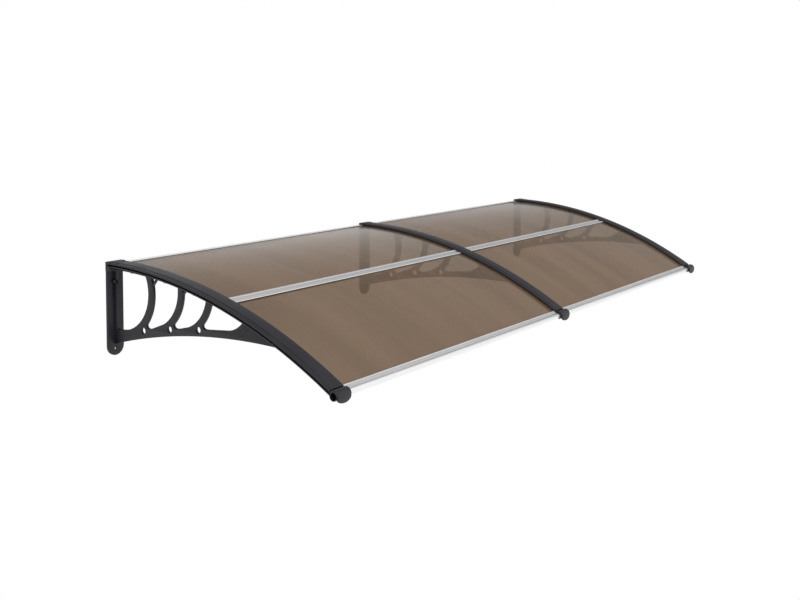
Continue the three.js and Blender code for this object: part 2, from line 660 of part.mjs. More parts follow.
/** Joining strip: an H section with a beaded top that takes the edges of two sheets. */
function joiningStrip(x) {
  const half = JOINT_WIDTH / 2;
  const web = JOINT_WEB / 2;
  const cap = SLOT_HALF + JOINT_CAP;
  const bead = cap + JOINT_BEAD_RISE;
  const inner = half - JOINT_BEAD_WIDTH;
  const shape = sectionShape(A_JOINT, [
    [-half, -cap],
    [half, -cap],
    [half, -SLOT_HALF],
    [web, -SLOT_HALF],
    [web, SLOT_HALF],
    [half, SLOT_HALF],
    [half, cap],
    [half - JOINT_BEAD_SLOPE, bead],
    [inner + JOINT_BEAD_SLOPE, bead],
    [inner, cap],
    [-inner, cap],
    [-inner - JOINT_BEAD_SLOPE, bead],
    [-half + JOINT_BEAD_SLOPE, bead],
    [-half, cap],
    [-half, SLOT_HALF],
    [-web, SLOT_HALF],
    [-web, -SLOT_HALF],
    [-half, -SLOT_HALF],
  ]);
  return acrossWidth(shape, LIP_RUN, x);
}

/** Curved roof sheet between two angles, its side edges inside the bracket slots. */
function roofSheet(x, fromAngle, toAngle) {
  const width = SPACING - UPSTAND_WIDTH - END_PLAY;
  return acrossWidth(roofBand(R_SHEET_UNDER, R_SHEET_TOP, fromAngle, toAngle), width, x, WEB_SEGMENTS);
}

/** Names a geometry and gives it a finish of its own. */
function piece(name, geometry, finish) {
  const mesh = new THREE.Mesh(geometry, new THREE.MeshStandardMaterial({ ...finish }));
  mesh.name = name;
  return mesh;
}

const BLACK_PLASTIC = { color: 0x1d1d21, roughness: 0.55, metalness: 0 };
const ALUMINIUM = { color: 0xd6d6d8, roughness: 0.32, metalness: 1 };
const BRONZE_SHEET = { color: 0x8d7662, roughness: 0.3, metalness: 0, transparent: true, opacity: 0.6 };
const RUBBER = { color: 0x151516, roughness: 0.8, metalness: 0 };
const ZINC_STEEL = { color: 0xb4b6ba, roughness: 0.4, metalness: 1 };

const canopy = new THREE.Group();
canopy.name = 'door_canopy';

const bracketGeometry = geometryOf(bracketBody());
const coverGeometry = geometryOf(coverBody());
const brackets = [['left', -SPACING], ['middle', 0], ['right', SPACING]];
for (const [side, x] of brackets) {
  canopy.add(piece(`bracket_${side}`, bracketGeometry.clone().translate(x, 0, 0), BLACK_PLASTIC));
  canopy.add(piece(`cover_strip_${side}`, coverGeometry.clone().translate(x, 0, 0), BLACK_PLASTIC));
  COVER_SCREW_DEPTHS.forEach((depth, i) => {
    canopy.add(piece(`cover_screw_${side}_${i + 1}`, coverScrew(depth, x), ZINC_STEEL));
  });
}

const sheetGap = (JOINT_WEB / 2 + FIT_GAP) / R_SHEET_MID;
const rearEdge = A_REAR + FIT_GAP * 2 / R_SHEET_MID;
const frontEdge = A_TUBE - (STRAP_RADIUS + FIT_GAP * 2) / R_SHEET_MID;
for (const [bay, x] of [['left', -SPACING / 2], ['right', SPACING / 2]]) {
  canopy.add(piece(`roof_sheet_${bay}_rear`, roofSheet(x, rearEdge, A_JOINT - sheetGap), BRONZE_SHEET));
  canopy.add(piece(`roof_sheet_${bay}_front`, roofSheet(x, A_JOINT + sheetGap, frontEdge), BRONZE_SHEET));
  canopy.add(piece(`joining_strip_${bay}`, joiningStrip(x), ALUMINIUM));
  canopy.add(piece(`front_rail_${bay}`, geometryOf(frontRail(x)), ALUMINIUM));
  canopy.add(piece(`rear_rail_${bay}`, rearRail(x), ALUMINIUM));
  canopy.add(piece(`wall_seal_${bay}`, wallSeal(x), RUBBER));
}

export default canopy;
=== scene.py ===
"""Looks of a two-bay polycarbonate door canopy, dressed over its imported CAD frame.

Metres, +Z up. The wall is the plane Y = 0 and the canopy reaches out towards -Y.
A side view is read as (depth forward, height up) and a front view as (across, height up).
"""

from __future__ import annotations

import logging
import math
from dataclasses import dataclass
from enum import Enum

import bpy
import numpy as np
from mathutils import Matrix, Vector
from mathutils.geometry import tessellate_polygon

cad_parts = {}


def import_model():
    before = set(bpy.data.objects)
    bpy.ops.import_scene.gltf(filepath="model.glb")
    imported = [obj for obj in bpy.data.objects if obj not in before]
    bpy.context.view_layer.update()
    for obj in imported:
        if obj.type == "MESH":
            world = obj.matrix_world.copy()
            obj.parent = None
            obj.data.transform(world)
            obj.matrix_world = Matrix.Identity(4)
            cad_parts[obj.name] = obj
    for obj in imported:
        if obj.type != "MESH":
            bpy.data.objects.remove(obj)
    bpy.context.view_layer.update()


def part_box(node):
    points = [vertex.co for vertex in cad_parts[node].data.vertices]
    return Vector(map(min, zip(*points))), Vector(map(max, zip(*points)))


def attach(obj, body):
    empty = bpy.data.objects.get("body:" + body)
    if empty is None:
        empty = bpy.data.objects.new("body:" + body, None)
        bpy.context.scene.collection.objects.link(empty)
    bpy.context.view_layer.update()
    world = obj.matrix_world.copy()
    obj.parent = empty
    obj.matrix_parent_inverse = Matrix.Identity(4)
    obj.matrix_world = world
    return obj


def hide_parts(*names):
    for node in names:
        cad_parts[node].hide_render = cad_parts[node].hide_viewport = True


log = logging.getLogger("door_canopy")

BODY = "root"
NOISE_LOW, NOISE_HIGH = 0.3, 0.7
MIRRORED = np.array([-1.0, 1.0])

Colour = tuple[float, float, float]
Socket = bpy.types.NodeSocket


class Side(Enum):
    """Place of a bracket along the canopy."""

    LEFT = "left"
    MIDDLE = "middle"
    RIGHT = "right"


class Bay(Enum):
    """Field between two brackets."""

    LEFT = "left"
    RIGHT = "right"


class Row(Enum):
    """Sheet of a bay, behind or in front of the joining strip."""

    REAR = "rear"
    FRONT = "front"


class Slot(Enum):
    """Names of material slots."""

    BRACKET = "bracket_plastic"
    COVER = "cover_plastic"
    SHEET = "bronze_polycarbonate"
    RAIL = "rail_aluminium"
    SEAL = "seal_rubber"
    SCREW = "screw_steel"


class View(Enum):
    """View in which a flat outline is drawn before it is extruded."""

    SIDE = "side"
    FRONT = "front"


# Lines and loops of a flat outline


def arc_line(centre: np.ndarray, radius: float, start: float, end: float, steps: int = 28) -> np.ndarray:
    """Points of a circle, centre plus radius times cosine and sine of evenly spaced angles.

    Args:
        centre: Middle of the circle.
        radius: Its radius.
        start: First angle, counter-clockwise from the first axis.
        end: Last angle.
        steps: Number of points.

    Returns:
        Array of shape (steps, 2).
    """
    angle = np.linspace(start, end, steps)
    return np.asarray(centre) + radius * np.stack([np.cos(angle), np.sin(angle)], axis=-1)


def bent_line(start: np.ndarray, pull: np.ndarray, end: np.ndarray, steps: int = 10) -> np.ndarray:
    """Curve (1-t)^2 start + 2t(1-t) pull + t^2 end, with t from 0 to 1."""
    t = np.linspace(0.0, 1.0, steps)[:, None]
    return (1 - t) ** 2 * start + 2 * t * (1 - t) * pull + t**2 * end


def round_hole(centre: np.ndarray, radius: float, steps: int = 40) -> np.ndarray:
    """Clockwise loop of a round hole."""
    return arc_line(centre, radius, 0.0, -2 * np.pi, steps + 1)[:-1]


def cut_back(line: np.ndarray, reach: float, longest_cut: float = 0.4) -> np.ndarray:
    """Shortens a line by a reach at both ends and spaces its points evenly along it.

    Args:
        line: Array of shape (points, 2).
        reach: Length taken off each end.
        longest_cut: Largest share of the line to take off.

    Returns:
        Array of the same shape.
    """
    run = np.concatenate([[0.0], np.cumsum(np.linalg.norm(np.diff(line, axis=0), axis=1))])
    short = min(reach, longest_cut * run[-1])
    at = np.linspace(short, run[-1] - short, len(line))
    return np.stack([np.interp(at, run, line[:, axis]) for axis in range(2)], axis=-1)


def rounded_loop(lines: list[np.ndarray], radius: float, steps: int = 4) -> np.ndarray:
    """Joins lines end to end into a closed loop and rounds the corners between them.

    A corner C between the cut-back ends P and Q becomes (1-t)^2 P + 2t(1-t) C + t^2 Q.

    Args:
        lines: Lines of the loop, each starting where the one before it ends.
        radius: Length cut off each line at a corner.
        steps: Points added between P and Q.

    Returns:
        Array of shape (points, 2).
    """
    short = [cut_back(line, radius) for line in lines]
    parts = []
    for line, trimmed, following in zip(lines, short, short[1:] + short[:1]):
        corner = bent_line(trimmed[-1], line[-1], following[0], steps + 2)
        parts += [trimmed, corner[1:-1]]
    return np.concatenate(parts)


def polygon_loop(corners: np.ndarray, radius: float, steps: int = 4) -> np.ndarray:
    """Closed loop through corners in order, each rounded by a radius."""
    ends = np.roll(corners, -1, axis=0)
    return rounded_loop(list(np.stack([corners, ends], axis=1)), radius, steps)


def circles_meet(near: np.ndarray, near_radius: float, far: np.ndarray, far_radius: float) -> np.ndarray:
    """Meeting point of two circles that lies further forward.

    With d the distance of the centres, it lies a = (r1^2 - r2^2 + d^2) / 2d along the line between
    them and sqrt(r1^2 - a^2) off it.

    Args:
        near: Centre of the first circle.
        near_radius: Its radius.
        far: Centre of the second circle.
        far_radius: Its radius.

    Returns:
        The point.
    """
    link = far - near
    distance = float(np.hypot(*link))
    along = (near_radius**2 - far_radius**2 + distance**2) / (2 * distance)
    unit = link / distance
    off = np.array([-unit[1], unit[0]])
    off = off if off[0] >= 0 else -off
    return near + along * unit + math.sqrt(near_radius**2 - along**2) * off


def angle_of(centre: np.ndarray, point: np.ndarray) -> float:
    """Angle of a point around a centre, counter-clockwise from forward."""
    return math.atan2(point[1] - centre[1], point[0] - centre[0])


# Shells and objects


@dataclass
class Shell:
    """Closed surface: smooth quads and flat end faces over shared points."""

    points: np.ndarray
    quads: np.ndarray
    flats: list[list[int]]

    def moved(self, x: float) -> Shell:
        """Copy shifted along the canopy's width."""
        return Shell(self.points + np.array([x, 0.0, 0.0]), self.quads, self.flats)


def skin(grid: np.ndarray, ring: bool = False) -> Shell:
    """Closes a grid of section points into a shell.

    Row i of the grid is the section at station i. Quads join neighbouring rows, every row closes on
    itself, and the first and last row are capped, or joined to each other where the path is a ring.
    The sum of the quads' signed tetrahedra says which way round they have to go.

    Args:
        grid: Array of shape (stations, section points, 3).
        ring: True where the last station meets the first.

    Returns:
        The shell, its faces pointing outwards.
    """
    stations, count = grid.shape[:2]
    points = grid.reshape(-1, 3)
    index = np.arange(stations * count).reshape(stations, count)
    near = index if ring else index[:-1]
    far = np.roll(index, -1, axis=0) if ring else index[1:]
    quads = np.stack([near, np.roll(near, -1, 1), np.roll(far, -1, 1), far], axis=-1).reshape(-1, 4)
    caps = [] if ring else [index[0, ::-1].tolist(), index[-1].tolist()]
    a, b, c, d = (points[quads[:, i]] - points.mean(0) for i in range(4))
    volume = np.einsum("ij,ij->", a, np.cross(b, c)) + np.einsum("ij,ij->", a, np.cross(c, d))
    if volume < 0:
        quads = quads[:, ::-1]
        caps = [cap[::-1] for cap in caps]
    return Shell(points, quads, caps)


def extrusion(
    loops: list[np.ndarray],
    low: float,
    high: float,
    view: View,
    rounding: float,
    sunk: dict[int, float] | None = None,
    steps: int = 3,
) -> Shell:
    """Extrudes a flat region and rounds its rims.

    The solid lies on the left of every loop. Near a face, a rim of radius r is set in by r(1 - sin a)
    at the distance r(1 - cos a) from the face, with a from 0 to a right angle; a countersunk rim is
    set in by its reach less the distance. The two faces fill the region between the innermost rims.

    Args:
        loops: Outer loop counter-clockwise and holes clockwise.
        low: Start along the extrusion.
        high: End along the extrusion.
        view: View that the loops are drawn in. A side view is extruded across, a front view forward.
        rounding: Radius of the rims.
        sunk: Countersink reach at the high face for the loops with these numbers.
        steps: Steps of each rim.

    Returns:
        The shell, its faces pointing outwards.
    """
    turn = np.linspace(0.0, np.pi / 2, steps + 1)
    inset = rounding * (1 - np.sin(turn))
    lift = rounding * (1 - np.cos(turn))
    points, quads, first, last, flat = [], [], [], [], []
    base = 0
    for number, loop in enumerate(loops):
        tangent = np.roll(loop, -1, axis=0) - np.roll(loop, 1, axis=0)
        tangent = tangent / np.linalg.norm(tangent, axis=1, keepdims=True)
        inward = np.stack([-tangent[:, 1], tangent[:, 0]], axis=-1)
        reach = (sunk or {}).get(number, 0.0)
        slope = np.linspace(0.0, reach, steps + 1)
        top_inset = slope if reach else inset[::-1]
        top_level = high - reach + slope if reach else high - lift[::-1]
        insets = np.concatenate([inset, top_inset])
        levels = np.concatenate([low + lift, top_level])
        rows = loop[None] + insets[:, None, None] * inward[None]
        depth = np.broadcast_to(levels[:, None, None], (*rows.shape[:2], 1))
        count = len(loop)
        index = base + np.arange(len(levels) * count).reshape(-1, count)
        near, far = index[:-1], index[1:]
        quads.append(np.stack([near, np.roll(near, -1, 1), np.roll(far, -1, 1), far], axis=-1).reshape(-1, 4))
        points.append(np.concatenate([rows, depth], axis=-1).reshape(-1, 3))
        first.append(index[0])
        last.append(index[-1])
        flat.append((rows[0], rows[-1]))
        base += index.size
    under = filled([rows[0] for rows in flat])[:, ::-1]
    over = filled([rows[1] for rows in flat])
    faces = np.concatenate([np.concatenate(first)[under], np.concatenate(last)[over]])
    u, v, w = np.concatenate(points).T
    placed = np.stack([-w, -u, v], axis=-1) if view is View.SIDE else np.stack([u, -w, v], axis=-1)
    return Shell(placed, np.concatenate(quads), faces.tolist())


def filled(loops: list[np.ndarray]) -> np.ndarray:
    """Triangles of a flat region with holes, counter-clockwise, numbered through all its loops."""
    triangles = np.array(tessellate_polygon([loop.tolist() for loop in loops]))
    a, b, c = (np.concatenate(loops)[triangles[:, i]] for i in range(3))
    area = (b[:, 0] - a[:, 0]) * (c[:, 1] - a[:, 1]) - (b[:, 1] - a[:, 1]) * (c[:, 0] - a[:, 0])
    triangles[area < 0] = triangles[area < 0][:, ::-1]
    return triangles[area != 0]


def assembled(name: str, shells: list[Shell], sharp: float = 40.0) -> bpy.types.Object:
    """Makes one object at the origin out of shells.

    Args:
        name: Name of the new object.
        shells: Closed shells of the piece.
        sharp: Angle in degrees above which an edge stays sharp.

    Returns:
        The linked object, smooth on its quads and flat on its end faces.
    """
    points = np.concatenate([shell.points for shell in shells])
    starts = np.cumsum([0] + [len(shell.points) for shell in shells[:-1]])
    quads = np.concatenate([shell.quads + start for shell, start in zip(shells, starts)])
    flats = [[int(start) + i for i in face] for shell, start in zip(shells, starts) for face in shell.flats]
    mesh = bpy.data.meshes.new(name)
    mesh.from_pydata(points.tolist(), [], quads.tolist() + flats)
    smooth = np.arange(len(mesh.polygons)) < len(quads)
    mesh.polygons.foreach_set("use_smooth", smooth)
    mesh.set_sharp_from_angle(angle=math.radians(sharp))
    mesh.update()
    piece = bpy.data.objects.new(name, mesh)
    bpy.context.scene.collection.objects.link(piece)
    return piece


def settle(piece: bpy.types.Object, node: str, finish: bpy.types.Material) -> None:
    """Dresses a finished piece and ties it to the frame.

    Args:
        piece: Finished piece.
        node: CAD node that it stands for.
        finish: Material of the whole piece.
    """
    piece.data.materials.append(finish)
    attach(piece, BODY)
    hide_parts(node)
    log.info("%s: %d faces", piece.name, len(piece.data.polygons))


# Finishes


class Shader:
    """Material whose nodes are added one by one."""

    def __init__(self, name: str) -> None:
        """Starts a material of this name with nothing but its output."""
        self.material = bpy.data.materials.new(name)
        self.material.use_nodes = True
        self.nodes = self.material.node_tree.nodes
        self.links = self.material.node_tree.links
        self.nodes.clear()
        self.output = self.add("ShaderNodeOutputMaterial")

    def add(self, kind: str, **values: float | tuple[float, ...]) -> bpy.types.Node:
        """Adds a node and sets sockets of it by name."""
        node = self.nodes.new(kind)
        for name, value in values.items():
            node.inputs[name].default_value = value
        return node

    def show(self, shader: bpy.types.Node) -> None:
        """Connects a shader to the material's output."""
        self.links.new(shader.outputs[0], self.output.inputs["Surface"])

    def mix(self, share: float | Socket, first: bpy.types.Node, second: bpy.types.Node) -> bpy.types.Node:
        """Mixes two shaders.

        Args:
            share: Share of the second shader, as a number or a socket.
            first: First shader.
            second: Second shader.

        Returns:
            The mixing node.
        """
        mix = self.nodes.new("ShaderNodeMixShader")
        if isinstance(share, float):
            mix.inputs["Fac"].default_value = share
        else:
            self.links.new(share, mix.inputs["Fac"])
        self.links.new(first.outputs[0], mix.inputs[1])
        self.links.new(second.outputs[0], mix.inputs[2])
        return mix

    def slant(self, steepness: float) -> Socket:
        """Share of gloss: one minus the cosine of the viewing slant, to the power of the steepness."""
        facing = self.add("ShaderNodeLayerWeight", Blend=0.5)
        power = self.nodes.new("ShaderNodeMath")
        power.operation = "POWER"
        power.inputs[1].default_value = steepness
        self.links.new(facing.outputs["Facing"], power.inputs[0])
        return power.outputs["Value"]

    def coordinates(self, scale: tuple[float, float, float] = (1.0, 1.0, 1.0)) -> Socket:
        """Object coordinates stretched by a scale on each axis."""
        place = self.nodes.new("ShaderNodeTexCoord")
        mapping = self.add("ShaderNodeMapping", Scale=scale)
        self.links.new(place.outputs["Object"], mapping.inputs["Vector"])
        return mapping.outputs["Vector"]

    def noise(self, vector: Socket, scale: float, detail: float) -> Socket:
        """Cloudy noise between 0 and 1.

        Args:
            vector: Coordinates to read.
            scale: Clouds per metre.
            detail: Octaves of finer noise.

        Returns:
            The noise value socket.
        """
        noise = self.add("ShaderNodeTexNoise", Scale=scale, Detail=detail)
        self.links.new(vector, noise.inputs["Vector"])
        return noise.outputs["Fac"]

    def spread(self, value: Socket, low: float, high: float) -> Socket:
        """Stretches the middle of a noise value over a range."""
        span = self.nodes.new("ShaderNodeMapRange")
        bounds = {"From Min": NOISE_LOW, "From Max": NOISE_HIGH, "To Min": low, "To Max": high}
        for name, bound in bounds.items():
            span.inputs[name].default_value = bound
        self.links.new(value, span.inputs["Value"])
        return span.outputs["Result"]

    def sum(self, first: Socket, second: Socket) -> Socket:
        """Adds two values."""
        add = self.nodes.new("ShaderNodeMath")
        add.operation = "ADD"
        self.links.new(first, add.inputs[0])
        self.links.new(second, add.inputs[1])
        return add.outputs["Value"]

    def tones(self, value: Socket, dark: Colour, light: Colour) -> Socket:
        """Blends two linear colours by a noise value."""
        ramp = self.nodes.new("ShaderNodeValToRGB")
        for step, place, colour in zip(ramp.color_ramp.elements, (NOISE_LOW, NOISE_HIGH), (dark, light)):
            step.position = place
            step.color = (*colour, 1.0)
        self.links.new(value, ramp.inputs["Fac"])
        return ramp.outputs["Color"]

    def bump(self, value: Socket, depth: float) -> Socket:
        """Normals of a surface raised by a noise value times a depth in metres."""
        bump = self.add("ShaderNodeBump", Distance=depth)
        self.links.new(value, bump.inputs["Height"])
        return bump.outputs["Normal"]


@dataclass(frozen=True)
class Opaque:
    """Opaque finish: two tones and two roughnesses by one noise, and a grain raised by another."""

    name: str
    dark: Colour
    light: Colour
    smoothest: float
    roughest: float
    tone_per_metre: float
    tone_detail: float = 3.0
    grain_per_metre: float = 0.0
    grain_detail: float = 3.0
    grain_depth: float = 0.0
    stretch: tuple[float, float, float] = (1.0, 1.0, 1.0)
    metallic: float = 0.0
    refraction: float = 1.5

    def material(self) -> bpy.types.Material:
        """Builds the node material."""
        shader = Shader(self.name)
        place = shader.coordinates(self.stretch)
        tone = shader.noise(place, self.tone_per_metre, self.tone_detail)
        surface = shader.add("ShaderNodeBsdfPrincipled", Metallic=self.metallic, IOR=self.refraction)
        shader.links.new(shader.tones(tone, self.dark, self.light), surface.inputs["Base Color"])
        shader.links.new(shader.spread(tone, self.smoothest, self.roughest), surface.inputs["Roughness"])
        if self.grain_depth:
            grain = shader.noise(place, self.grain_per_metre, self.grain_detail)
            shader.links.new(shader.bump(grain, self.grain_depth), surface.inputs["Normal"])
        shader.show(surface)
        return shader.material


@dataclass(frozen=True)
class MouldedPlastic(Opaque):
    """Black moulded plastic with a fine spark-eroded grain."""

    dark: Colour = (0.007, 0.007, 0.011)
    light: Colour = (0.012, 0.012, 0.018)
    smoothest: float = 0.40
    roughest: float = 0.52
    tone_per_metre: float = 18.0
    grain_per_metre: float = 900.0
    grain_detail: float = 2.0
    grain_depth: float = 0.00005
    refraction: float = 1.45


@dataclass(frozen=True)
class SatinAluminium(Opaque):
    """Anodised aluminium with fine drawing lines along the extrusion."""

    name: str = "satin_aluminium"
    dark: Colour = (0.86, 0.85, 0.86)
    light: Colour = (0.94, 0.93, 0.94)
    smoothest: float = 0.22
    roughest: float = 0.34
    tone_per_metre: float = 900.0
    grain_per_metre: float = 900.0
    grain_depth: float = 0.00002
    stretch: tuple[float, float, float] = (0.012, 1.0, 1.0)
    metallic: float = 1.0


@dataclass(frozen=True)
class SealRubber(Opaque):
    """Dull black rubber with a dusty mottle."""

    name: str = "seal_rubber"
    dark: Colour = (0.014, 0.014, 0.014)
    light: Colour = (0.030, 0.029, 0.028)
    smoothest: float = 0.68
    roughest: float = 0.85
    tone_per_metre: float = 260.0
    tone_detail: float = 4.0
    grain_per_metre: float = 260.0
    grain_detail: float = 4.0
    grain_depth: float = 0.00008


@dataclass(frozen=True)
class ZincSteel(Opaque):
    """Zinc-plated steel with a patchy bright plating."""

    name: str = "zinc_steel"
    dark: Colour = (0.52, 0.53, 0.55)
    light: Colour = (0.68, 0.69, 0.70)
    smoothest: float = 0.26
    roughest: float = 0.42
    tone_per_metre: float = 500.0
    metallic: float = 1.0


@dataclass(frozen=True)
class BronzeSheet:
    """Bronze polycarbonate, clear and milky by halves, glossy at a flat angle, grained and streaked."""

    name: str = "bronze_polycarbonate"
    clear: Colour = (0.60, 0.53, 0.475)
    dark: Colour = (0.285, 0.216, 0.154)
    light: Colour = (0.400, 0.308, 0.226)
    milk: float = 0.5
    gloss: float = 0.9
    gloss_steepness: float = 6.5
    smoothest: float = 0.08
    roughest: float = 0.18
    grain_per_metre: float = 420.0
    grain_share: tuple[float, float] = (0.15, 0.45)
    streak_stretch: tuple[float, float, float] = (1.0, 0.12, 0.12)
    streak_per_metre: float = 9.0
    streak_share: tuple[float, float] = (0.05, 0.35)
    detail: float = 2.0

    def material(self) -> bpy.types.Material:
        """Builds the node material."""
        shader = Shader(self.name)
        grain = shader.noise(shader.coordinates(), self.grain_per_metre, self.detail)
        streak = shader.noise(shader.coordinates(self.streak_stretch), self.streak_per_metre, self.detail)
        fine = shader.spread(grain, *self.grain_share)
        mottle = shader.sum(fine, shader.spread(streak, *self.streak_share))
        see_through = shader.add("ShaderNodeBsdfTransparent", Color=(*self.clear, 1.0))
        milky = shader.add("ShaderNodeBsdfTranslucent")
        shine = shader.add("ShaderNodeBsdfGlossy", Color=(self.gloss, self.gloss, self.gloss, 1.0))
        shader.links.new(shader.tones(mottle, self.dark, self.light), milky.inputs["Color"])
        shader.links.new(shader.spread(grain, self.smoothest, self.roughest), shine.inputs["Roughness"])
        body = shader.mix(self.milk, see_through, milky)
        shader.show(shader.mix(shader.slant(self.gloss_steepness), body, shine))
        return shader.material


# Roof arc


@dataclass(frozen=True)
class RoofArc:
    """Circle that every curved layer is concentric with, and the layers under it."""

    radius: float = 1.326
    crest_depth: float = -0.008
    crest_height: float = 0.1236
    cover_edge: float = 0.0047
    sheet: float = 0.003
    gap: float = 0.0003
    flange: float = 0.003
    rib: float = 0.0082
    arm: float = 0.0122
    tube_depth: float = 0.6924

    @property
    def centre(self) -> np.ndarray:
        """Roof axis in the side view."""
        return np.array([self.crest_depth, self.crest_height - self.radius])

    @property
    def under_cover(self) -> float:
        """Radius of the covers' underside."""
        return self.radius - self.cover_edge

    @property
    def sheet_top(self) -> float:
        """Radius of the sheets' upper face."""
        return self.under_cover - self.gap

    @property
    def sheet_middle(self) -> float:
        """Radius halfway through the sheets."""
        return self.sheet_top - self.sheet / 2

    @property
    def flange_top(self) -> float:
        """Radius of the flanges' upper face."""
        return self.sheet_top - self.sheet - self.gap

    @property
    def flange_under(self) -> float:
        """Radius of the flanges' lower face."""
        return self.flange_top - self.flange

    @property
    def rib_low(self) -> float:
        """Radius of the lower edge of the rib over the openings."""
        return self.flange_under - self.rib

    @property
    def arm_low(self) -> float:
        """Radius of the lower edge of the free arm."""
        return self.flange_under - self.arm

    @property
    def slot_half(self) -> float:
        """Half the height of a slot that takes a sheet."""
        return self.sheet / 2 + self.gap

    @property
    def tube_angle(self) -> float:
        """Angle of the front tube."""
        return self.angle_at(self.sheet_middle, self.tube_depth)

    @property
    def tube(self) -> np.ndarray:
        """Axis of the front tube in the side view."""
        return self.side(self.sheet_middle, self.tube_angle)

    def angle_at(self, radius: float, depth: float) -> float:
        """Angle from the vertical of the point at this radius and depth."""
        return math.asin((depth - self.crest_depth) / radius)

    def side(self, radius: np.ndarray | float, angle: np.ndarray | float) -> np.ndarray:
        """Side-view points: the axis plus radius times sine forward and radius times cosine up."""
        spoke = np.stack(np.broadcast_arrays(np.sin(angle), np.cos(angle)), axis=-1)
        return self.centre + np.asarray(radius)[..., None] * spoke

    def line(self, radius: float, start: float, end: float, steps: int = 60) -> np.ndarray:
        """Stretch of a roof circle between two angles."""
        return self.side(radius, np.linspace(start, end, steps))

    def height_at(self, radius: float, depth: float) -> float:
        """Height of a roof circle over a depth."""
        return float(self.side(radius, self.angle_at(radius, depth))[1])

    def place(self, x: np.ndarray, radius: np.ndarray, angle: np.ndarray) -> np.ndarray:
        """Points of the frame from place across, distance from the roof axis and angle."""
        x, radius, angle = np.broadcast_arrays(x, radius, angle)
        side = self.side(radius, angle)
        return np.stack([x, -side[..., 0], side[..., 1]], axis=-1)

    def bar(self, outline: np.ndarray, angle: float, left: float, right: float) -> Shell:
        """Straight bar across the canopy.

        A point of its section lies at the sheet's middle radius plus its second coordinate, moved
        along the tangent by its first.

        Args:
            outline: Section as forward and outward distances.
            angle: Angle of the section on the roof arc.
            left: Its left end.
            right: Its right end.

        Returns:
            The bar.
        """
        tangent = np.array([math.cos(angle), -math.sin(angle)])
        side = self.side(self.sheet_middle + outline[:, 1], angle) + outline[:, :1] * tangent
        ends = np.array([left, right])[:, None]
        x, depth, height = np.broadcast_arrays(ends, side[None, :, 0], side[None, :, 1])
        return skin(np.stack([x, -depth, height], axis=-1))

    def measure(self, node: str) -> tuple[np.ndarray, np.ndarray, np.ndarray]:
        """Reads a CAD node in roof coordinates.

        Args:
            node: Name of the CAD node.

        Returns:
            Place across, radius and angle of each vertex.
        """
        mesh = bpy.data.objects[node].data
        flat = np.empty(len(mesh.vertices) * 3, np.float32)
        mesh.vertices.foreach_get("co", flat)
        x, y, z = flat.reshape(-1, 3).astype(float).T
        depth = -y - self.centre[0]
        height = z - self.centre[1]
        return x, np.hypot(depth, height), np.arctan2(depth, height)


# Sub-assemblies


@dataclass
class RoofSheets:
    """Four curved sheets, two in each bay."""

    arc: RoofArc
    finish: bpy.types.Material
    edge_round: float = 0.0005
    steps: int = 96

    def build(self) -> None:
        """Builds and dresses every sheet."""
        for bay in Bay:
            for row in Row:
                node = f"roof_sheet_{bay.value}_{row.value}"
                sheet = assembled(f"bronze_sheet_{bay.value}_{row.value}", [self.sheet(node)])
                settle(sheet, node, self.finish)

    def sheet(self, node: str) -> Shell:
        """Carries a rounded flat section along the roof arc between the node's two end angles.

        Args:
            node: CAD node that gives the sheet its place.

        Returns:
            The sheet.
        """
        x, radius, angle = self.arc.measure(node)
        left, right = x.min(), x.max()
        low, high = radius.min(), radius.max()
        corners = np.array([[left, low], [right, low], [right, high], [left, high]])
        section = polygon_loop(corners, self.edge_round)
        stations = np.linspace(angle.min(), angle.max(), self.steps)[:, None]
        return skin(self.arc.place(section[None, :, 0], section[None, :, 1], stations))


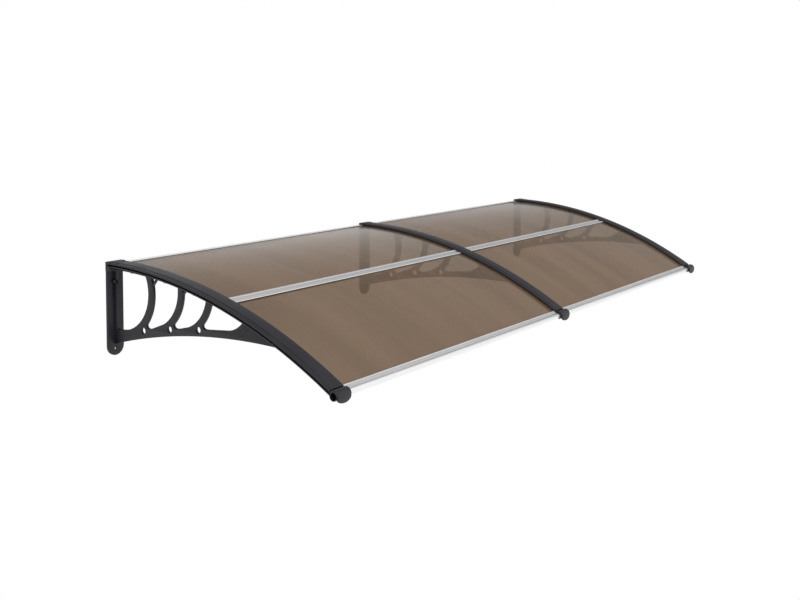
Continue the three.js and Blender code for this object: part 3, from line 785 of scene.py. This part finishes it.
@dataclass
class CoverStrips:
    """Three clip-on strips that close the sheet slots from above."""

    arc: RoofArc
    finish: bpy.types.Material
    width: float = 0.046
    crown_width: float = 0.025
    crown_rise: float = 0.0015
    edge_round: float = 0.0016
    grip_radius: float = 0.0019
    grip_pitch: float = 0.007
    grip_inset: float = 0.0042
    grip_width: float = 0.042
    grips_at_nose: int = 4
    grips_at_wall: int = 3
    grip_steps: int = 15
    grip_reach: float = 1.05
    steps: int = 128

    def build(self) -> None:
        """Builds and dresses every strip."""
        for side in Side:
            node = f"cover_strip_{side.value}"
            strip = assembled(f"clip_cover_{side.value}", [self.strip(node)], sharp=50.0)
            settle(strip, node, self.finish)

    def section(self) -> np.ndarray:
        """Section across the strip: a raised flat crown between two lower shoulders.

        Returns:
            Array of places across and heights above the roof circle, going round the section.
        """
        half = self.width / 2
        crown = self.crown_width / 2
        foot = crown + self.crown_rise / 2
        edge = self.arc.cover_edge
        right = np.array([[half, -edge], [half, 0.0], [foot, 0.0], [crown, self.crown_rise]])
        left = right[::-1] * MIRRORED
        return polygon_loop(np.concatenate([right, left]), self.edge_round)

    def grip_angles(self, start: float, end: float) -> np.ndarray:
        """Angles of the grip ridges, counted in from both ends of the strip."""
        nose = end - (self.grip_inset + self.grip_pitch * np.arange(self.grips_at_nose)) / self.arc.radius
        wall = start + (self.grip_inset + self.grip_pitch * np.arange(self.grips_at_wall)) / self.arc.radius
        return np.concatenate([nose, wall])

    def strip(self, node: str) -> Shell:
        """Carries the section along the roof arc and lifts its top over the grip ridges.

        The top lies at the larger of the section's height and sqrt(r^2 - d^2), with r the ridge
        radius and d the distance along the roof to the nearest ridge.

        Args:
            node: CAD node that gives the strip its place.

        Returns:
            The strip.
        """
        x, _, angle = self.arc.measure(node)
        start, end = angle.min(), angle.max()
        ridges = self.grip_angles(start, end)
        reach = self.grip_radius / self.arc.radius
        spread = np.linspace(-self.grip_reach, self.grip_reach, self.grip_steps)
        fine = (ridges[:, None] + spread[None, :] * reach).ravel()
        stations = np.unique(np.concatenate([np.linspace(start, end, self.steps), fine]))
        stations = stations[(stations >= start) & (stations <= end)]
        distance = np.abs(stations[:, None] - ridges[None, :]).min(1) * self.arc.radius
        ridge = np.sqrt(np.clip(self.grip_radius**2 - distance**2, 0.0, None))
        section = self.section()
        on_top = (section[:, 1] > -self.edge_round) & (np.abs(section[:, 0]) <= self.grip_width / 2)
        lifted = np.maximum(section[None, :, 1], ridge[:, None])
        height = np.where(on_top[None, :], lifted, section[None, :, 1])
        across = section[None, :, 0] + (x.min() + x.max()) / 2
        return skin(self.arc.place(across, self.arc.radius + height, stations[:, None]))


@dataclass(frozen=True)
class Edge:
    """Curved edge in the web: a circle by its depth, its drop below the bracket's top and its radius."""

    depth: float
    drop: float
    radius: float
    end: float


@dataclass(frozen=True)
class Strut:
    """Curved strut with a round hole at its foot and a small fork at its top."""

    rear: Edge
    front: Edge
    hole: tuple[float, float]
    fork: tuple[float, float]


@dataclass
class Brackets:
    """Three moulded wall brackets with a strutted web and a rolled nose."""

    arc: RoofArc
    finish: bpy.types.Material
    spacing: float = 0.976
    top: float = 0.125
    front: float = 0.705
    block: tuple[float, float, float] = (0.048, 0.016, 0.022)
    slot_start: float = 0.0035
    plate: tuple[float, float, float] = (0.047, 0.007, 0.2265)
    screw_radius: float = 0.00275
    countersink: float = 0.00225
    screw_drops: tuple[float, float] = (0.048, 0.211)
    boss: tuple[float, float, float] = (0.022, 0.014, 0.011)
    rib_front: float = 0.015
    rib_notch: float = 0.005
    web_width: float = 0.008
    flange_width: float = 0.044
    upstand_width: float = 0.010
    arch: Edge = Edge(0.455, 1.756, 1.62, 0.0)
    last_bowl: Edge = Edge(0.3705, 0.0437, 0.077, 84.0)
    struts: tuple[Strut, ...] = (
        Strut(
            Edge(0.0308, 0.0664, 0.0958, 90.0), Edge(0.0333, 0.068, 0.1117, 39.7),
            (0.1075, 0.1551), (0.018, 0.014),
        ),
        Strut(
            Edge(0.1338, 0.0498, 0.092, 62.0), Edge(0.1402, 0.0522, 0.1029, 46.9),
            (0.1968, 0.1406), (0.012, 0.011),
        ),
        Strut(
            Edge(0.229, 0.0445, 0.0879, 72.0), Edge(0.225, 0.0422, 0.1091, 43.4),
            (0.2902, 0.1299), (0.009, 0.009),
        ),
    )
    foot_corner: tuple[float, float] = (-0.002, -0.0095)
    foot_run: tuple[float, float] = (0.013, -0.0087)
    hole_radius: float = 0.0076
    fork_width: float = 0.0072
    fork_thickness: float = 0.005
    fork_lower_bend: tuple[float, float] = (0.4, 0.3)
    fork_upper_bend: tuple[float, float] = (0.2, 0.55)
    end_rib_offsets: tuple[float, float] = (0.010, 0.019)
    end_rib_start: float = -62.0
    end_rib_thickness: float = 0.0024
    end_rib_rise: float = 0.0009
    socket_radius: float = 0.008
    socket_wall: float = 0.0018
    strap: float = 0.0046
    tongue_drop: float = 0.0153
    tongue_round: float = 0.011
    tongue_lap: float = 0.0015
    corner_round: float = 0.0022
    rim_round: float = 0.0012
    thin_round: float = 0.0006
    overlap: float = 0.001
    arch_steps: int = 60
    round_steps: int = 48
    half_steps: int = 40
    flange_steps: int = 96

    def build(self) -> None:
        """Builds and dresses every bracket."""
        shells = [
            self.web(),
            *[self.fork(strut) for strut in self.struts],
            *[self.end_rib(offset) for offset in self.end_rib_offsets],
            self.flange(),
            self.wall_plate(),
            self.screw_boss(),
            self.head_block(),
            self.socket(),
            self.socket_wall_disc(),
            self.tongue(),
        ]
        for side, x in zip(Side, (-self.spacing, 0.0, self.spacing)):
            name = f"moulded_bracket_{side.value}"
            bracket = assembled(name, [shell.moved(x) for shell in shells])
            settle(bracket, f"bracket_{side.value}", self.finish)

    def at(self, depth: float, drop: float) -> np.ndarray:
        """Side-view point at a depth and a drop below the bracket's top."""
        return np.array([depth, self.top - drop])

    def rib_meet(self, edge: Edge) -> np.ndarray:
        """Point where a curved edge meets the lower edge of the rib over the openings."""
        return circles_meet(self.arc.centre, self.arc.rib_low, self.at(edge.depth, edge.drop), edge.radius)

    def web(self) -> Shell:
        """Flat web: the arch and the arm below, the flange above, four openings and three round holes."""
        arc = self.arc
        arch = self.at(self.arch.depth, self.arch.drop)
        root = self.plate[1] / 2
        merge = circles_meet(arch, self.arch.radius, arc.centre, arc.arm_low)
        start = math.acos((root - arch[0]) / self.arch.radius)
        top = arc.flange_under + arc.flange / 2
        lower = arc_line(arch, self.arch.radius, start, angle_of(arch, merge), self.arch_steps)
        arm = arc.line(arc.arm_low, arc.angle_at(arc.arm_low, merge[0]), arc.tube_angle)
        upper = arc.line(top, arc.tube_angle, arc.angle_at(top, root))
        end = np.stack([arm[-1], upper[0]])
        back = np.stack([upper[-1], lower[0]])
        outline = rounded_loop([lower, arm, end, upper, back], self.corner_round)
        row = [None, *self.struts, None]
        openings = [self.opening(behind, ahead) for behind, ahead in zip(row, row[1:])]
        holes = [round_hole(self.at(*strut.hole), self.hole_radius) for strut in self.struts]
        half = self.web_width / 2
        return extrusion([outline, *openings, *holes], -half, half, View.SIDE, self.rim_round)

    def opening(self, behind: Strut | None, ahead: Strut | None) -> np.ndarray:
        """Loop of an opening between the strut behind it and the strut or rounded end before it.

        It runs forward under the rib, down and back round the bowl, along the floor to the heel of
        the strut behind, and up that strut's front edge; the first one goes up the wall plate's rib.

        Args:
            behind: Strut on the wall side, or None at the wall plate.
            ahead: Strut on the front side, or None at the rounded end.

        Returns:
            The clockwise loop.
        """
        arc = self.arc
        bowl = ahead.rear if ahead else self.last_bowl
        middle = self.at(bowl.depth, bowl.drop)
        bowl_top = self.rib_meet(bowl)
        wall_top = np.array([self.rib_front, arc.height_at(arc.rib_low, self.rib_front)])
        rear_top = self.rib_meet(behind.front) if behind else wall_top
        ends = [arc.angle_at(arc.rib_low, point[0]) for point in (rear_top, bowl_top)]
        lines = [arc.line(arc.rib_low, *ends)]
        lines.append(arc_line(middle, bowl.radius, angle_of(middle, bowl_top), -math.radians(bowl.end)))
        low = lines[-1][-1]
        if behind:
            heart = self.at(behind.front.depth, behind.front.drop)
            foot = -math.radians(behind.front.end)
            rise = arc_line(heart, behind.front.radius, foot, angle_of(heart, rear_top))
            run = rise[0] + np.array(self.foot_run)
            heel = bent_line(run, rise[0] + np.array(self.foot_corner), rise[0])
            lines += [np.stack([low, run]), heel, rise]
        else:
            screw = self.top - self.screw_drops[0]
            depths = [self.rib_front, self.rib_front, self.plate[1], self.plate[1], self.rib_front]
            heights = [low[1], screw - self.rib_notch, screw - self.rib_notch, screw + self.rib_notch]
            steps = np.stack([depths, [*heights, screw + self.rib_notch]], axis=-1)
            points = np.concatenate([[low], steps, [wall_top]])
            lines += list(np.stack([points[:-1], points[1:]], axis=1))
        return rounded_loop(lines, self.corner_round)

    def fork(self, strut: Strut) -> Shell:
        """Small branch from a strut up to the rib, bent along two curves.

        Args:
            strut: Strut that it grows from.

        Returns:
            The branch.
        """
        drop, reach = strut.fork
        arc = self.arc
        heart = self.at(strut.front.depth, strut.front.drop)
        low = self.rib_meet(strut.front)[1] - drop
        rear = heart[0] + math.sqrt(strut.front.radius**2 - (low - heart[1]) ** 2) - self.overlap
        front = rear + reach
        back = front - self.fork_thickness
        foot = np.array([rear, low])
        heel = np.array([rear, low + self.fork_thickness])
        tip = np.array([front, arc.height_at(arc.rib_low, front) + self.overlap])
        inner = np.array([back, arc.height_at(arc.rib_low, back) + self.overlap])
        size = np.array([reach, drop])
        under = bent_line(foot, foot + size * self.fork_lower_bend, tip)
        over = bent_line(inner, foot + size * self.fork_upper_bend, heel)
        lines = [under, np.stack([tip, inner]), over, np.stack([heel, foot])]
        loop = rounded_loop(lines, self.thin_round)
        half = self.fork_width / 2
        return extrusion([loop], -half, half, View.SIDE, self.rim_round)

    def end_rib(self, offset: float) -> Shell:
        """Raised rib on both faces of the web, an arc round the last bowl's centre.

        Args:
            offset: Distance outside the bowl's edge.

        Returns:
            The rib.
        """
        bowl = self.last_bowl
        centre = self.at(bowl.depth, bowl.drop)
        radius = bowl.radius + offset
        end = angle_of(centre, circles_meet(self.arc.centre, self.arc.rib_low + self.overlap, centre, radius))
        start = math.radians(self.end_rib_start)
        outer = arc_line(centre, radius + self.end_rib_thickness / 2, start, end)
        inner = arc_line(centre, radius - self.end_rib_thickness / 2, end, start)
        lines = [outer, np.stack([outer[-1], inner[0]]), inner, np.stack([inner[-1], outer[0]])]
        half = self.web_width / 2 + self.end_rib_rise
        return extrusion([rounded_loop(lines, self.thin_round)], -half, half, View.SIDE, self.thin_round)

    def flange(self) -> Shell:
        """Carries the T section of the flange and its upstand along the roof arc from wall to nose."""
        arc = self.arc
        half = self.flange_width / 2
        stem = self.upstand_width / 2
        wing = [[half, arc.flange_under], [half, arc.flange_top]]
        right = np.array([*wing, [stem, arc.flange_top], [stem, arc.sheet_top]])
        section = polygon_loop(np.concatenate([right, right[::-1] * MIRRORED]), self.thin_round)
        start = arc.angle_at(arc.flange_top, self.plate[1] / 2)
        end = arc.tube_angle - (self.socket_radius + self.socket_wall / 2) / arc.flange_top
        stations = np.linspace(start, end, self.flange_steps)[:, None]
        return skin(arc.place(section[None, :, 0], section[None, :, 1], stations))

    def wall_plate(self) -> Shell:
        """Flat plate against the wall, round below, with two screw holes, the lower one countersunk."""
        width, thickness, height = self.plate
        half = width / 2
        heart = np.array([0.0, self.top - height + half])
        corners = np.array([[half, self.top], [-half, self.top]])
        bottom = arc_line(heart, half, np.pi, 2 * np.pi, self.round_steps)
        sides = [np.stack([corners[1], bottom[0]]), bottom, np.stack([bottom[-1], corners[0]])]
        outline = rounded_loop([corners, *sides], self.corner_round)
        holes = [round_hole(np.array([0.0, self.top - drop]), self.screw_radius) for drop in self.screw_drops]
        sunk = {2: self.countersink}
        return extrusion([outline, *holes], 0.0, thickness, View.FRONT, self.rim_round, sunk)

    def screw_boss(self) -> Shell:
        """Oval boss on the plate with the countersunk upper screw hole."""
        width, depth, height = self.boss
        heart = np.array([0.0, self.top - self.screw_drops[0]])
        unit = round_hole(np.zeros(2), 0.5, self.round_steps)[::-1]
        oval = unit * np.array([width, height]) + heart
        hole = round_hole(heart, self.screw_radius)
        start = self.plate[1] - self.overlap
        return extrusion([oval, hole], start, depth, View.FRONT, self.thin_round, {1: self.countersink})

    def head_block(self) -> Shell:
        """Block at the bracket's top, with the slot that takes the sheets' rear edge and the rear rail."""
        arc = self.arc
        width, depth, height = self.block
        inner, outer = self.slot_start, depth
        low, high = arc.flange_top, arc.under_cover
        corners = np.array([
            [0.0, self.top - height],
            [outer, self.top - height],
            [outer, arc.height_at(low, outer)],
            [inner, arc.height_at(low, inner)],
            [inner, arc.height_at(high, inner)],
            [outer, arc.height_at(high, outer)],
            [outer, self.top],
            [0.0, self.top],
        ])
        loop = polygon_loop(corners, self.rim_round)
        return extrusion([loop], -width / 2, width / 2, View.SIDE, self.rim_round)

    def socket(self) -> Shell:
        """Thin ring around the front tube, thickened over its top and front by the rolled strap."""
        tube = self.arc.tube
        lean = self.arc.tube_angle
        thick = self.socket_radius + self.strap
        thin = self.socket_radius + self.socket_wall
        over = arc_line(tube, thick, -lean, np.pi - lean, self.half_steps)
        under = arc_line(tube, thin, np.pi - lean, 2 * np.pi - lean, self.half_steps)
        lines = [over, np.stack([over[-1], under[0]]), under, np.stack([under[-1], over[0]])]
        bore = round_hole(tube, self.socket_radius, self.round_steps)
        half = self.flange_width / 2
        loops = [rounded_loop(lines, self.thin_round), bore]
        return extrusion(loops, -half, half, View.SIDE, self.thin_round)

    def socket_wall_disc(self) -> Shell:
        """Disc that closes the socket in the plane of the web."""
        outline = round_hole(self.arc.tube, self.socket_radius + self.overlap, self.round_steps)[::-1]
        half = self.web_width / 2
        return extrusion([outline], -half, half, View.SIDE, self.thin_round)

    def tongue(self) -> Shell:
        """Round tongue that hangs from the strap: straight sides over half an ellipse."""
        half = self.flange_width / 2
        height = self.arc.tube[1]
        heart = np.array([0.0, height - self.tongue_drop + self.tongue_round])
        unit = arc_line(np.zeros(2), 1.0, np.pi, 2 * np.pi, self.half_steps)
        bottom = unit * np.array([half, self.tongue_round]) + heart
        corners = np.array([[half, height + self.tongue_lap], [-half, height + self.tongue_lap]])
        sides = [np.stack([corners[1], bottom[0]]), bottom, np.stack([bottom[-1], corners[0]])]
        loop = rounded_loop([corners, *sides], self.thin_round)
        return extrusion([loop], self.front - self.strap, self.front, View.FRONT, self.rim_round)


@dataclass
class Rails:
    """Extruded aluminium: front rails, rear rails and joining strips."""

    arc: RoofArc
    finish: bpy.types.Material
    lip_run: float = 0.9288
    tube_radius: float = 0.0075
    tube_wall: float = 0.0012
    lip_thickness: float = 0.0015
    lip_length: float = 0.010
    bead_width: float = 0.0022
    bead_rise: float = 0.0007
    rear_lip: float = 0.014
    rear_wall: float = 0.002
    rear_back: float = 0.003
    rear_skirt: float = 0.012
    joint_depth: float = 0.365
    joint_width: float = 0.025
    joint_cap: float = 0.0013
    joint_web: float = 0.002
    joint_bead_width: float = 0.006
    joint_bead_rise: float = 0.0008
    joint_bead_slope: float = 0.001
    edge_round: float = 0.0004
    steps: int = 48

    def build(self) -> None:
        """Builds and dresses the three extrusions of each bay."""
        for bay in Bay:
            for kind, make in (
                ("front_rail", self.front_rail),
                ("rear_rail", self.rear_rail),
                ("joining_strip", self.joining_strip),
            ):
                node = f"{kind}_{bay.value}"
                x, _, _ = self.arc.measure(node)
                rail = assembled(f"extruded_{kind}_{bay.value}", make(x.min(), x.max()))
                settle(rail, node, self.finish)

    @property
    def outer(self) -> float:
        """Distance from the sheet's middle to the outside of a lip."""
        return self.arc.slot_half + self.lip_thickness

    def front_rail(self, left: float, right: float) -> list[Shell]:
        """Round tube with two lips that take the front edge of the sheets, the upper one beaded.

        Args:
            left: Left end of the tube.
            right: Right end of the tube.

        Returns:
            The tube and both lips.
        """
        slot, outer = self.arc.slot_half, self.outer
        tip = -self.lip_length / 2
        sunk = self.tube_radius - math.sqrt(self.tube_radius**2 - outer**2)
        root = self.lip_length / 2 + sunk + self.arc.gap
        angle = self.arc.tube_angle - (self.tube_radius + self.lip_length / 2) / self.arc.sheet_middle
        bead = tip + self.bead_width
        crest = outer + self.bead_rise
        ridge = [[bead, outer], [bead, crest], [tip, crest]]
        upper = np.array([[tip, slot], [root, slot], [root, outer], *ridge])
        lower = np.array([[tip, -outer], [root, -outer], [root, -slot], [tip, -slot]])
        start = (left + right - self.lip_run) / 2
        end = start + self.lip_run
        loops = [polygon_loop(lip, self.edge_round) for lip in (upper, lower)]
        return [self.tube(left, right), *[self.arc.bar(loop, angle, start, end) for loop in loops]]

    def tube(self, left: float, right: float) -> Shell:
        """Turns the wall's section, a rounded rectangle along the tube, round the tube's axis.

        Args:
            left: Its left end.
            right: Its right end.

        Returns:
            The tube.
        """
        inner = self.tube_radius - self.tube_wall
        outer = self.tube_radius
        corners = np.array([[left, inner], [right, inner], [right, outer], [left, outer]])
        section = polygon_loop(corners, self.edge_round)
        turn = np.linspace(0.0, 2 * np.pi, self.steps, endpoint=False)[:, None]
        depth = self.arc.tube[0] + section[None, :, 1] * np.cos(turn)
        height = self.arc.tube[1] + section[None, :, 1] * np.sin(turn)
        across = np.broadcast_to(section[None, :, 0], depth.shape)
        return skin(np.stack([across, -depth, height], axis=-1), ring=True)

    def rear_rail(self, left: float, right: float) -> list[Shell]:
        """Channel for the rear edge of the sheets with a skirt down the wall side.

        Args:
            left: Its left end.
            right: Its right end.

        Returns:
            The rail.
        """
        slot, outer = self.arc.slot_half, self.outer
        angle = self.arc.angle_at(self.arc.sheet_middle, self.rear_back + self.rear_wall)
        outline = np.array([
            [-self.rear_wall, outer],
            [-self.rear_wall, -self.rear_skirt],
            [0.0, -self.rear_skirt],
            [0.0, -outer],
            [self.rear_lip, -outer],
            [self.rear_lip, -slot],
            [0.0, -slot],
            [0.0, slot],
            [self.rear_lip, slot],
            [self.rear_lip, outer],
        ])
        return [self.arc.bar(polygon_loop(outline, self.edge_round), angle, left, right)]

    def joining_strip(self, left: float, right: float) -> list[Shell]:
        """H section whose upper cap has a raised bead along both edges.

        Args:
            left: Its left end.
            right: Its right end.

        Returns:
            The strip.
        """
        slot = self.arc.slot_half
        half, web = self.joint_width / 2, self.joint_web / 2
        cap = slot + self.joint_cap
        bead = cap + self.joint_bead_rise
        inner = half - self.joint_bead_width
        slope = self.joint_bead_slope
        front = np.array([
            [half, -cap],
            [half, -slot],
            [web, -slot],
            [web, slot],
            [half, slot],
            [half, cap],
            [half - slope, bead],
            [inner + slope, bead],
            [inner, cap],
        ])
        outline = np.concatenate([front, front[::-1] * MIRRORED])
        angle = self.arc.angle_at(self.arc.sheet_middle, self.joint_depth)
        return [self.arc.bar(polygon_loop(outline, self.edge_round), angle, left, right)]


@dataclass
class Seals:
    """Rubber strips between the rear rails and the wall."""

    arc: RoofArc
    finish: bpy.types.Material
    edge_round: float = 0.0014

    def build(self) -> None:
        """Builds and dresses both strips."""
        for bay in Bay:
            node = f"wall_seal_{bay.value}"
            seal = assembled(f"rubber_seal_{bay.value}", [self.seal(node)])
            settle(seal, node, self.finish)

    def seal(self, node: str) -> Shell:
        """Carries a flat strip section with round corners across its bay.

        Args:
            node: CAD node that gives the seal its place.

        Returns:
            The seal.
        """
        low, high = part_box(node)
        back, front = -high[1], -low[1]
        corners = np.array([[back, high[2]], [back, low[2]], [front, low[2]], [front, high[2]]])
        section = polygon_loop(corners, self.edge_round)
        ends = np.array([low[0], high[0]])[:, None]
        x, depth, height = np.broadcast_arrays(ends, section[None, :, 0], section[None, :, 1])
        return skin(np.stack([x, -depth, height], axis=-1))


@dataclass
class CoverScrews:
    """Pan-head screws with a cross recess that hold the cover strips from below."""

    arc: RoofArc
    finish: bpy.types.Material
    per_bracket: int = 4
    head_radius: float = 0.0031
    crown_radius: float = 0.0023
    head: float = 0.0022
    shaft_radius: float = 0.0015
    point: float = 0.0015
    recess_depth: float = 0.0011
    recess_half: float = 0.00035
    recess_reach: float = 0.0018
    recess_soft: float = 0.00025
    axis_gap: float = 0.00005
    face_steps: int = 12
    rim_steps: int = 6
    steps: int = 32

    def build(self) -> None:
        """Builds and dresses every screw."""
        for side in Side:
            for number in range(1, self.per_bracket + 1):
                node = f"cover_screw_{side.value}_{number}"
                screw = assembled(f"pan_screw_{side.value}_{number}", [self.screw(node)])
                settle(screw, node, self.finish)

    def profile(self, length: float) -> np.ndarray:
        """Half outline of the screw.

        Args:
            length: Length of the whole screw.

        Returns:
            Radii and heights from the middle of the head's face to the point of the shaft.
        """
        across = np.linspace(self.axis_gap, self.crown_radius, self.face_steps)
        face = np.stack([across, np.zeros_like(across)], axis=-1)
        corner = np.array([self.head_radius, 0.0])
        rim = bent_line(face[-1], corner, corner + np.array([0.0, self.head / 2]), self.rim_steps)
        rest = np.array([
            [self.head_radius, self.head],
            [self.shaft_radius, self.head],
            [self.shaft_radius, length - self.point],
            [self.axis_gap, length],
        ])
        return np.concatenate([face, rim[1:], rest])

    def screw(self, node: str) -> Shell:
        """Turns the profile round a roof radius and sinks a cross into the head's face.

        The face is sunk by the recess depth times two ramps: one falls off with the distance from
        the nearer arm of the cross, the other with the distance from its middle.

        Args:
            node: CAD node that gives the screw its place and length.

        Returns:
            The screw.
        """
        x, radius, angle = self.arc.measure(node)
        foot = radius.min()
        outline = self.profile(radius.max() - foot)
        turn = np.linspace(0.0, 2 * np.pi, self.steps, endpoint=False)[None, :]
        across = outline[:, :1] * np.cos(turn)
        along = outline[:, :1] * np.sin(turn)
        off_arm = np.minimum(np.abs(across), np.abs(along))
        arms = np.clip((self.recess_half + self.recess_soft - off_arm) / self.recess_soft, 0.0, 1.0)
        reach = np.clip((self.recess_reach - outline[:, :1]) / self.recess_soft, 0.0, 1.0)
        on_face = outline[:, 1:] == 0.0
        rise = outline[:, 1:] + np.where(on_face, self.recess_depth * arms * reach, 0.0)
        middle = (angle.min() + angle.max()) / 2
        points = self.arc.place((x.min() + x.max()) / 2 + across, foot + rise, middle)
        tangent = np.array([0.0, -math.cos(middle), -math.sin(middle)])
        return skin(points + along[..., None] * tangent)


@dataclass
class Studio:
    """Pale floor, soft light and the camera."""

    camera_place: tuple[float, float, float] = (-2.586, -1.995, 0.502)
    camera_heading: float = 54.36
    camera_tilt: float = 2.96
    focal_pixels: float = 1044.0
    image_width: float = 800.0
    sensor_width: float = 36.0
    frame_shift: float = -0.18
    clip_end: float = 300.0
    floor_height: float = -2.2
    floor_half: float = 80.0
    key_place: tuple[float, float, float] = (-1.8, -2.6, 2.6)
    key_target: tuple[float, float, float] = (0.0, -0.35, 0.0)
    key_size: float = 1.2
    key_power: float = 55.0
    bright_side: tuple[float, float, float] = (0.10, -0.95, 0.30)
    dome_steps: tuple[tuple[float, float], ...] = (
        (0.0, 0.60), (0.25, 0.85), (0.42, 0.40), (0.60, 0.36), (0.75, 0.90), (0.85, 1.0),
    )

    def build(self) -> None:
        """Sets the stage."""
        self.sky()
        self.floor()
        self.lights()
        self.camera()
        bpy.context.scene.view_settings.view_transform = "Standard"

    def sky(self) -> None:
        """White backdrop to the eye; to the surfaces, a dome that is bright in front and dim behind."""
        world = bpy.data.worlds.new("studio")
        world.use_nodes = True
        bpy.context.scene.world = world
        nodes = world.node_tree.nodes
        links = world.node_tree.links
        nodes.clear()
        output = nodes.new("ShaderNodeOutputWorld")
        mix = nodes.new("ShaderNodeMixShader")
        path = nodes.new("ShaderNodeLightPath")
        dome = nodes.new("ShaderNodeBackground")
        backdrop = nodes.new("ShaderNodeBackground")
        backdrop.inputs["Color"].default_value = (1.0, 1.0, 1.0, 1.0)
        place = nodes.new("ShaderNodeTexCoord")
        lean = nodes.new("ShaderNodeVectorMath")
        lean.operation = "DOT_PRODUCT"
        lean.inputs[1].default_value = Vector(self.bright_side).normalized()
        span = nodes.new("ShaderNodeMapRange")
        span.inputs["From Min"].default_value = -1.0
        ramp = nodes.new("ShaderNodeValToRGB")
        steps = ramp.color_ramp.elements
        for position, grey in self.dome_steps[1:-1]:
            steps.new(position).color = (grey, grey, grey, 1.0)
        for step, (position, grey) in ((steps[0], self.dome_steps[0]), (steps[-1], self.dome_steps[-1])):
            step.position = position
            step.color = (grey, grey, grey, 1.0)
        links.new(place.outputs["Generated"], lean.inputs[0])
        links.new(lean.outputs["Value"], span.inputs["Value"])
        links.new(span.outputs["Result"], ramp.inputs["Fac"])
        links.new(ramp.outputs["Color"], dome.inputs["Color"])
        seen = nodes.new("ShaderNodeMath")
        seen.operation = "MAXIMUM"
        links.new(path.outputs["Is Camera Ray"], seen.inputs[0])
        links.new(path.outputs["Is Transmission Ray"], seen.inputs[1])
        links.new(seen.outputs["Value"], mix.inputs["Fac"])
        links.new(dome.outputs["Background"], mix.inputs[1])
        links.new(backdrop.outputs["Background"], mix.inputs[2])
        links.new(mix.outputs["Shader"], output.inputs["Surface"])

    def floor(self) -> None:
        """Plain pale floor far under the canopy, lit evenly, open to the eye from below."""
        half = self.floor_half
        low = self.floor_height
        corners = np.array([[-half, -half, low], [half, -half, low], [half, half, low], [-half, half, low]])
        floor = assembled("floor", [Shell(corners, np.array([[0, 1, 2, 3]]), [])])
        shader = Shader("pale_floor")
        side = shader.add("ShaderNodeNewGeometry").outputs["Backfacing"]
        glow = shader.add("ShaderNodeEmission", Strength=1.0)
        shader.show(shader.mix(side, glow, shader.add("ShaderNodeBsdfTransparent")))
        floor.data.materials.append(shader.material)

    def lights(self) -> None:
        """Square softbox over the front left."""
        light = bpy.data.lights.new("key", "AREA")
        light.shape = "RECTANGLE"
        light.size = light.size_y = self.key_size
        light.energy = self.key_power
        lamp = bpy.data.objects.new("key", light)
        gaze = Vector(self.key_target) - Vector(self.key_place)
        lamp.location = self.key_place
        lamp.rotation_mode = "QUATERNION"
        lamp.rotation_quaternion = gaze.to_track_quat("-Z", "Y")
        lamp.visible_camera = False
        bpy.context.scene.collection.objects.link(lamp)

    def camera(self) -> None:
        """Camera at the photograph's place, with its frame shifted down."""
        heading = math.radians(self.camera_heading)
        tilt = math.radians(self.camera_tilt)
        level = math.cos(tilt)
        gaze = Vector((math.sin(heading) * level, math.cos(heading) * level, -math.sin(tilt)))
        lens = bpy.data.cameras.new("camera")
        lens.sensor_width = self.sensor_width
        lens.lens = self.focal_pixels / self.image_width * self.sensor_width
        lens.shift_y = self.frame_shift
        lens.clip_end = self.clip_end
        camera = bpy.data.objects.new("camera", lens)
        camera.location = self.camera_place
        camera.rotation_mode = "QUATERNION"
        camera.rotation_quaternion = gaze.to_track_quat("-Z", "Y")
        bpy.context.scene.collection.objects.link(camera)
        bpy.context.scene.camera = camera


def main() -> None:
    """Builds the canopy's looks and the studio around the frame."""
    logging.basicConfig(level=logging.INFO, format="%(name)s %(message)s")
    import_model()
    arc = RoofArc()
    Brackets(arc, MouldedPlastic("bracket_plastic").material()).build()
    CoverStrips(arc, MouldedPlastic("cover_plastic").material()).build()
    RoofSheets(arc, BronzeSheet().material()).build()
    Rails(arc, SatinAluminium().material()).build()
    Seals(arc, SealRubber().material()).build()
    CoverScrews(arc, ZincSteel().material()).build()
    Studio().build()


if __name__ == "__main__":
    main()
